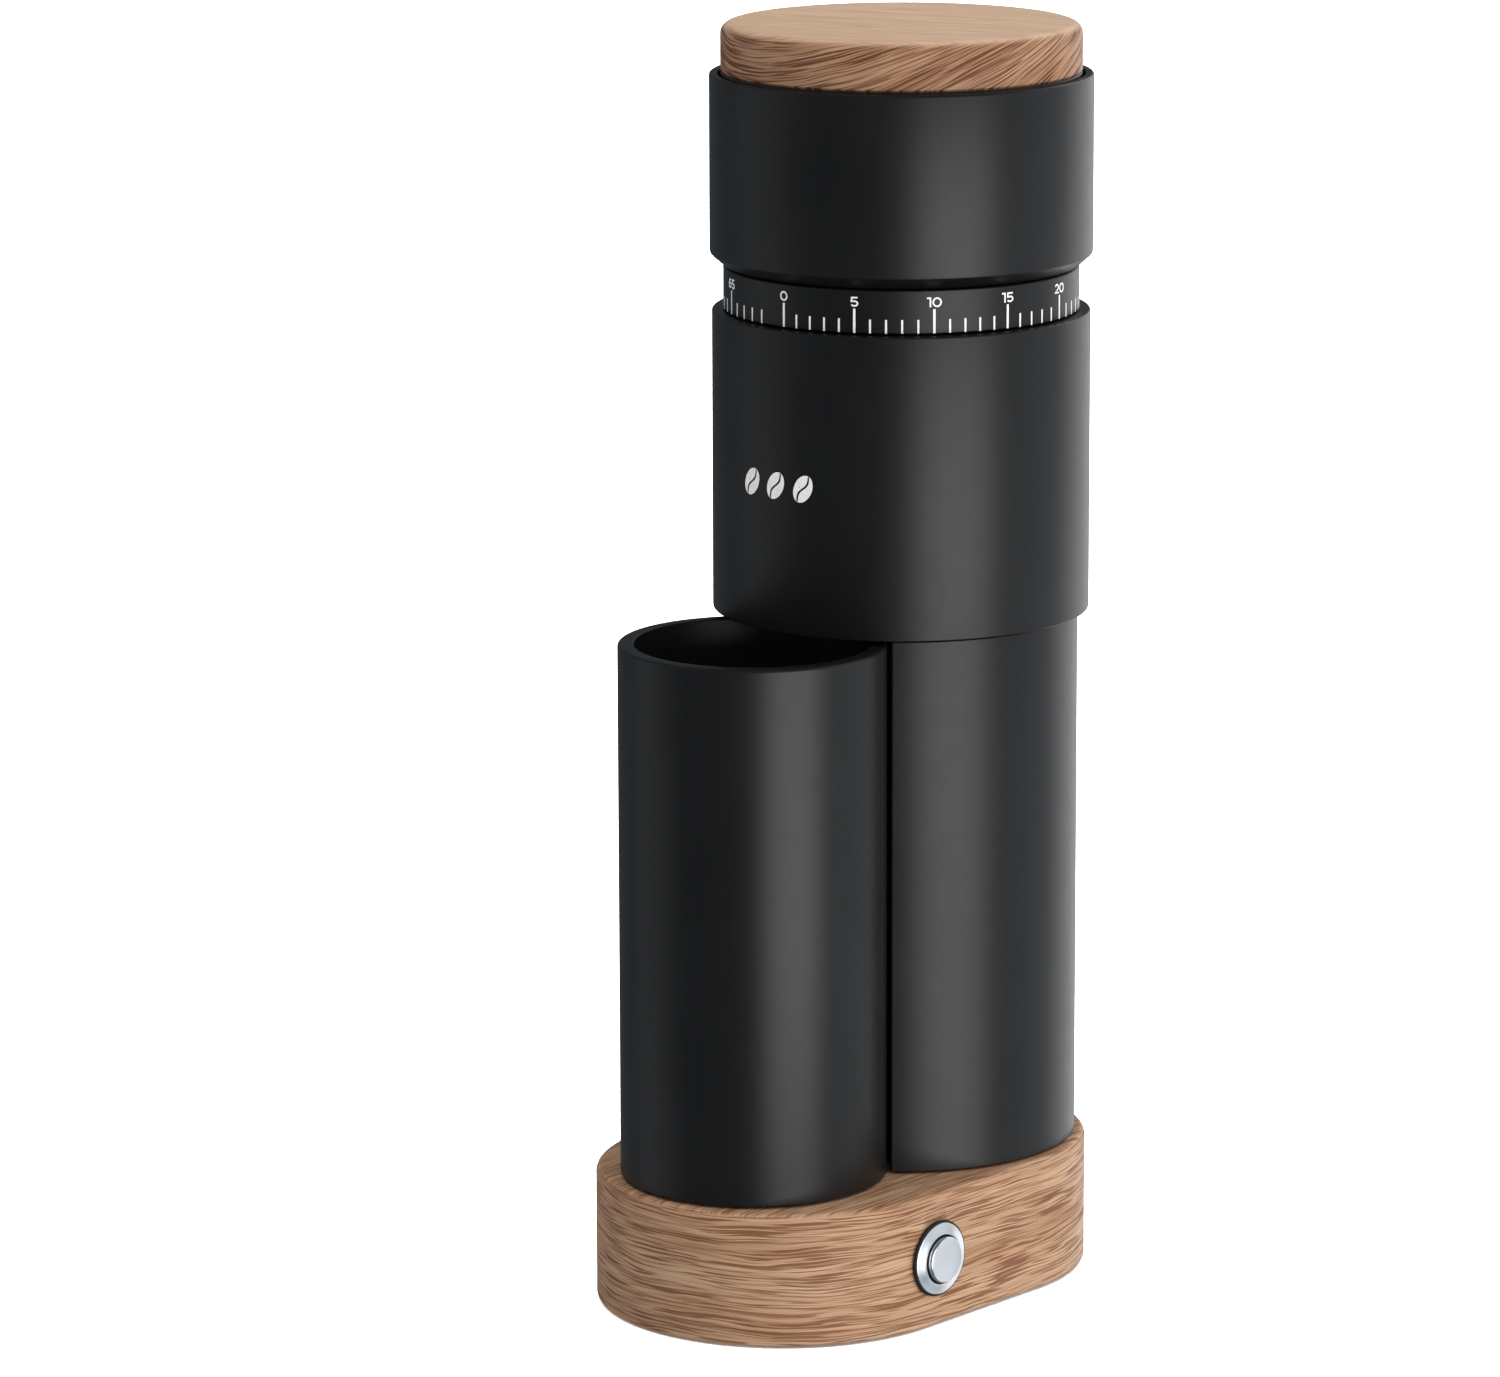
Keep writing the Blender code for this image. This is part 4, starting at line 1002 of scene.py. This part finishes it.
def dress_nodes():
    slots = {row["node"]: row["material_slot"] for row in frame["record"]["subparts"]}
    for name, node in frame["nodes"].items():
        node.data.materials.clear()
        node.data.materials.append(LOOKS[slots[name]])


# ---------------------------------------------------------------- camera, light and floor

CAMERA_AZIMUTH = math.radians(-49.283)
CAMERA_DISTANCE = 1.2361
CAMERA_HEIGHT = 0.37965
CAMERA_YAW = math.radians(1.301)
CAMERA_PITCH = math.radians(11.154)
CAMERA_ROLL = math.radians(-0.17)
CAMERA_LENS = 162.4  # in millimetres, as is the sensor's width
CAMERA_SENSOR = 36.0
CAMERA_SHIFT_Y = -0.0918

DIFFUSE_TONE = (0.56, 0.56, 0.56)  # the surround's light on surfaces
GLOSS_TONE = (0.135, 0.155, 0.175)  # the surround in reflections
FLOOR_REACH = 12.0


def build_camera():
    data = bpy.data.cameras.new("camera")
    data.lens = CAMERA_LENS
    data.sensor_width = CAMERA_SENSOR
    data.shift_y = CAMERA_SHIFT_Y
    camera = linked("camera", data)
    camera.location = (CAMERA_DISTANCE * math.sin(CAMERA_AZIMUTH), -CAMERA_DISTANCE * math.cos(CAMERA_AZIMUTH),
                       CAMERA_HEIGHT)
    heading = CAMERA_AZIMUTH + CAMERA_YAW
    turn = Matrix.Rotation(heading, 4, "Z") @ Matrix.Rotation(math.radians(90) - CAMERA_PITCH, 4, "X")
    camera.rotation_euler = (turn @ Matrix.Rotation(CAMERA_ROLL, 4, "Z")).to_euler()
    bpy.context.scene.camera = camera


def bearing_direction(bearing, elevation=0.0):
    """A direction out from the burr axis. The bearing is in degrees from the camera's side round to its right."""
    angle = CAMERA_AZIMUTH + math.radians(bearing)
    flat = math.cos(math.radians(elevation))
    return Vector((flat * math.sin(angle), -flat * math.cos(angle), math.sin(math.radians(elevation))))


def softbox(name, bearing, distance, size, heights, power, colour=(1, 1, 1)):
    """An upright rectangular light that faces the burr axis. size is its width."""
    low, high = heights
    data = bpy.data.lights.new(name, "AREA")
    data.shape = "RECTANGLE"
    data.size, data.size_y = size, high - low
    data.energy = power
    data.color = colour
    lamp = linked(name, data)
    target = Vector((0.0, 0.0, (low + high) / 2))
    lamp.location = target + distance * bearing_direction(bearing)
    lamp.rotation_euler = (target - lamp.location).to_track_quat("-Z", "Y").to_euler()
    lamp.visible_camera = False


def soft_sun(name, bearing, elevation, spread, strength):
    """A distant light that shows on matt surfaces and not in reflections."""
    data = bpy.data.lights.new(name, "SUN")
    data.energy = strength
    data.angle = math.radians(spread)
    sun = linked(name, data)
    sun.rotation_euler = bearing_direction(bearing, elevation).to_track_quat("Z", "Y").to_euler()
    sun.visible_glossy = False
    return sun


def build_sky():
    """A white surround, dimmer to lit surfaces than to the camera, and dim and bluish in reflections."""
    world = bpy.data.worlds.new("studio")
    world.use_nodes = True
    tree = world.node_tree
    background = tree.nodes["Background"]
    rays = tree.nodes.new("ShaderNodeLightPath")
    mixes = []
    for ray, tone in (("Is Glossy Ray", GLOSS_TONE), ("Is Camera Ray", (1, 1, 1))):
        mix = tree.nodes.new("ShaderNodeMix")
        mix.data_type = "RGBA"
        tree.links.new(rays.outputs[ray], mix.inputs["Factor"])
        mix.inputs["B"].default_value = (*tone, 1.0)
        mixes.append(mix)
    gloss, seen = mixes
    gloss.inputs["A"].default_value = (*DIFFUSE_TONE, 1.0)
    tree.links.new(gloss.outputs["Result"], seen.inputs["A"])
    tree.links.new(seen.outputs["Result"], background.inputs["Color"])
    bpy.context.scene.world = world
    bpy.context.scene.view_settings.view_transform = "Standard"


def build_floor():
    """A pale floor with a sun of its own, which leaves the grinder as it is."""
    builder = bmesh.new()
    corners = ((-1, -1), (1, -1), (1, 1), (-1, 1))
    builder.faces.new([builder.verts.new((x * FLOOR_REACH, y * FLOOR_REACH, 0.0)) for x, y in corners])
    floor = linked("floor", mesh_of("floor", builder))
    look = Nodes("floor_paint")
    tone = look.noise(look.place(), 30.0, 2.0)
    look.colour(look.ramp(tone, (0.3, 0.93), (0.7, 0.95)))
    look.set(Roughness=0.8, Specular_IOR_Level=0.0)
    floor.data.materials.append(look.material)
    floor.visible_glossy = False
    floor.visible_diffuse = False

    sun = soft_sun("floor_sun", 0, 90, 80, 6.0)
    lit = bpy.data.collections.new("floor_only")
    lit.objects.link(floor)
    sun.light_linking.receiver_collection = lit


def build_lights():
    softbox("key_strip", 32, 0.6, 0.50, (-0.25, 0.20), 3.6)
    softbox("rim_panel", 140, 1.2, 1.1, (-1.1, 1.3), 12.5)
    softbox("side_panel", 88, 1.2, 0.8, (-1.2, 1.2), 5.0, (0.92, 0.96, 1.0))
    softbox("left_panel", -92, 1.2, 0.9, (-1.1, 1.3), 2.6)
    soft_sun("overhead", 0, 90, 50, 1.15)
    soft_sun("right_fill", 52, 30, 60, 0.85)


build_camera()
dress_nodes()
build_base()
build_lid()
build_hopper()
build_dial()
build_head()
build_tower()
build_cup()
build_button()
build_port()
build_scale()
build_mark()
build_inner_burr()
build_ring_burr()
build_sky()
build_floor()
build_lights()
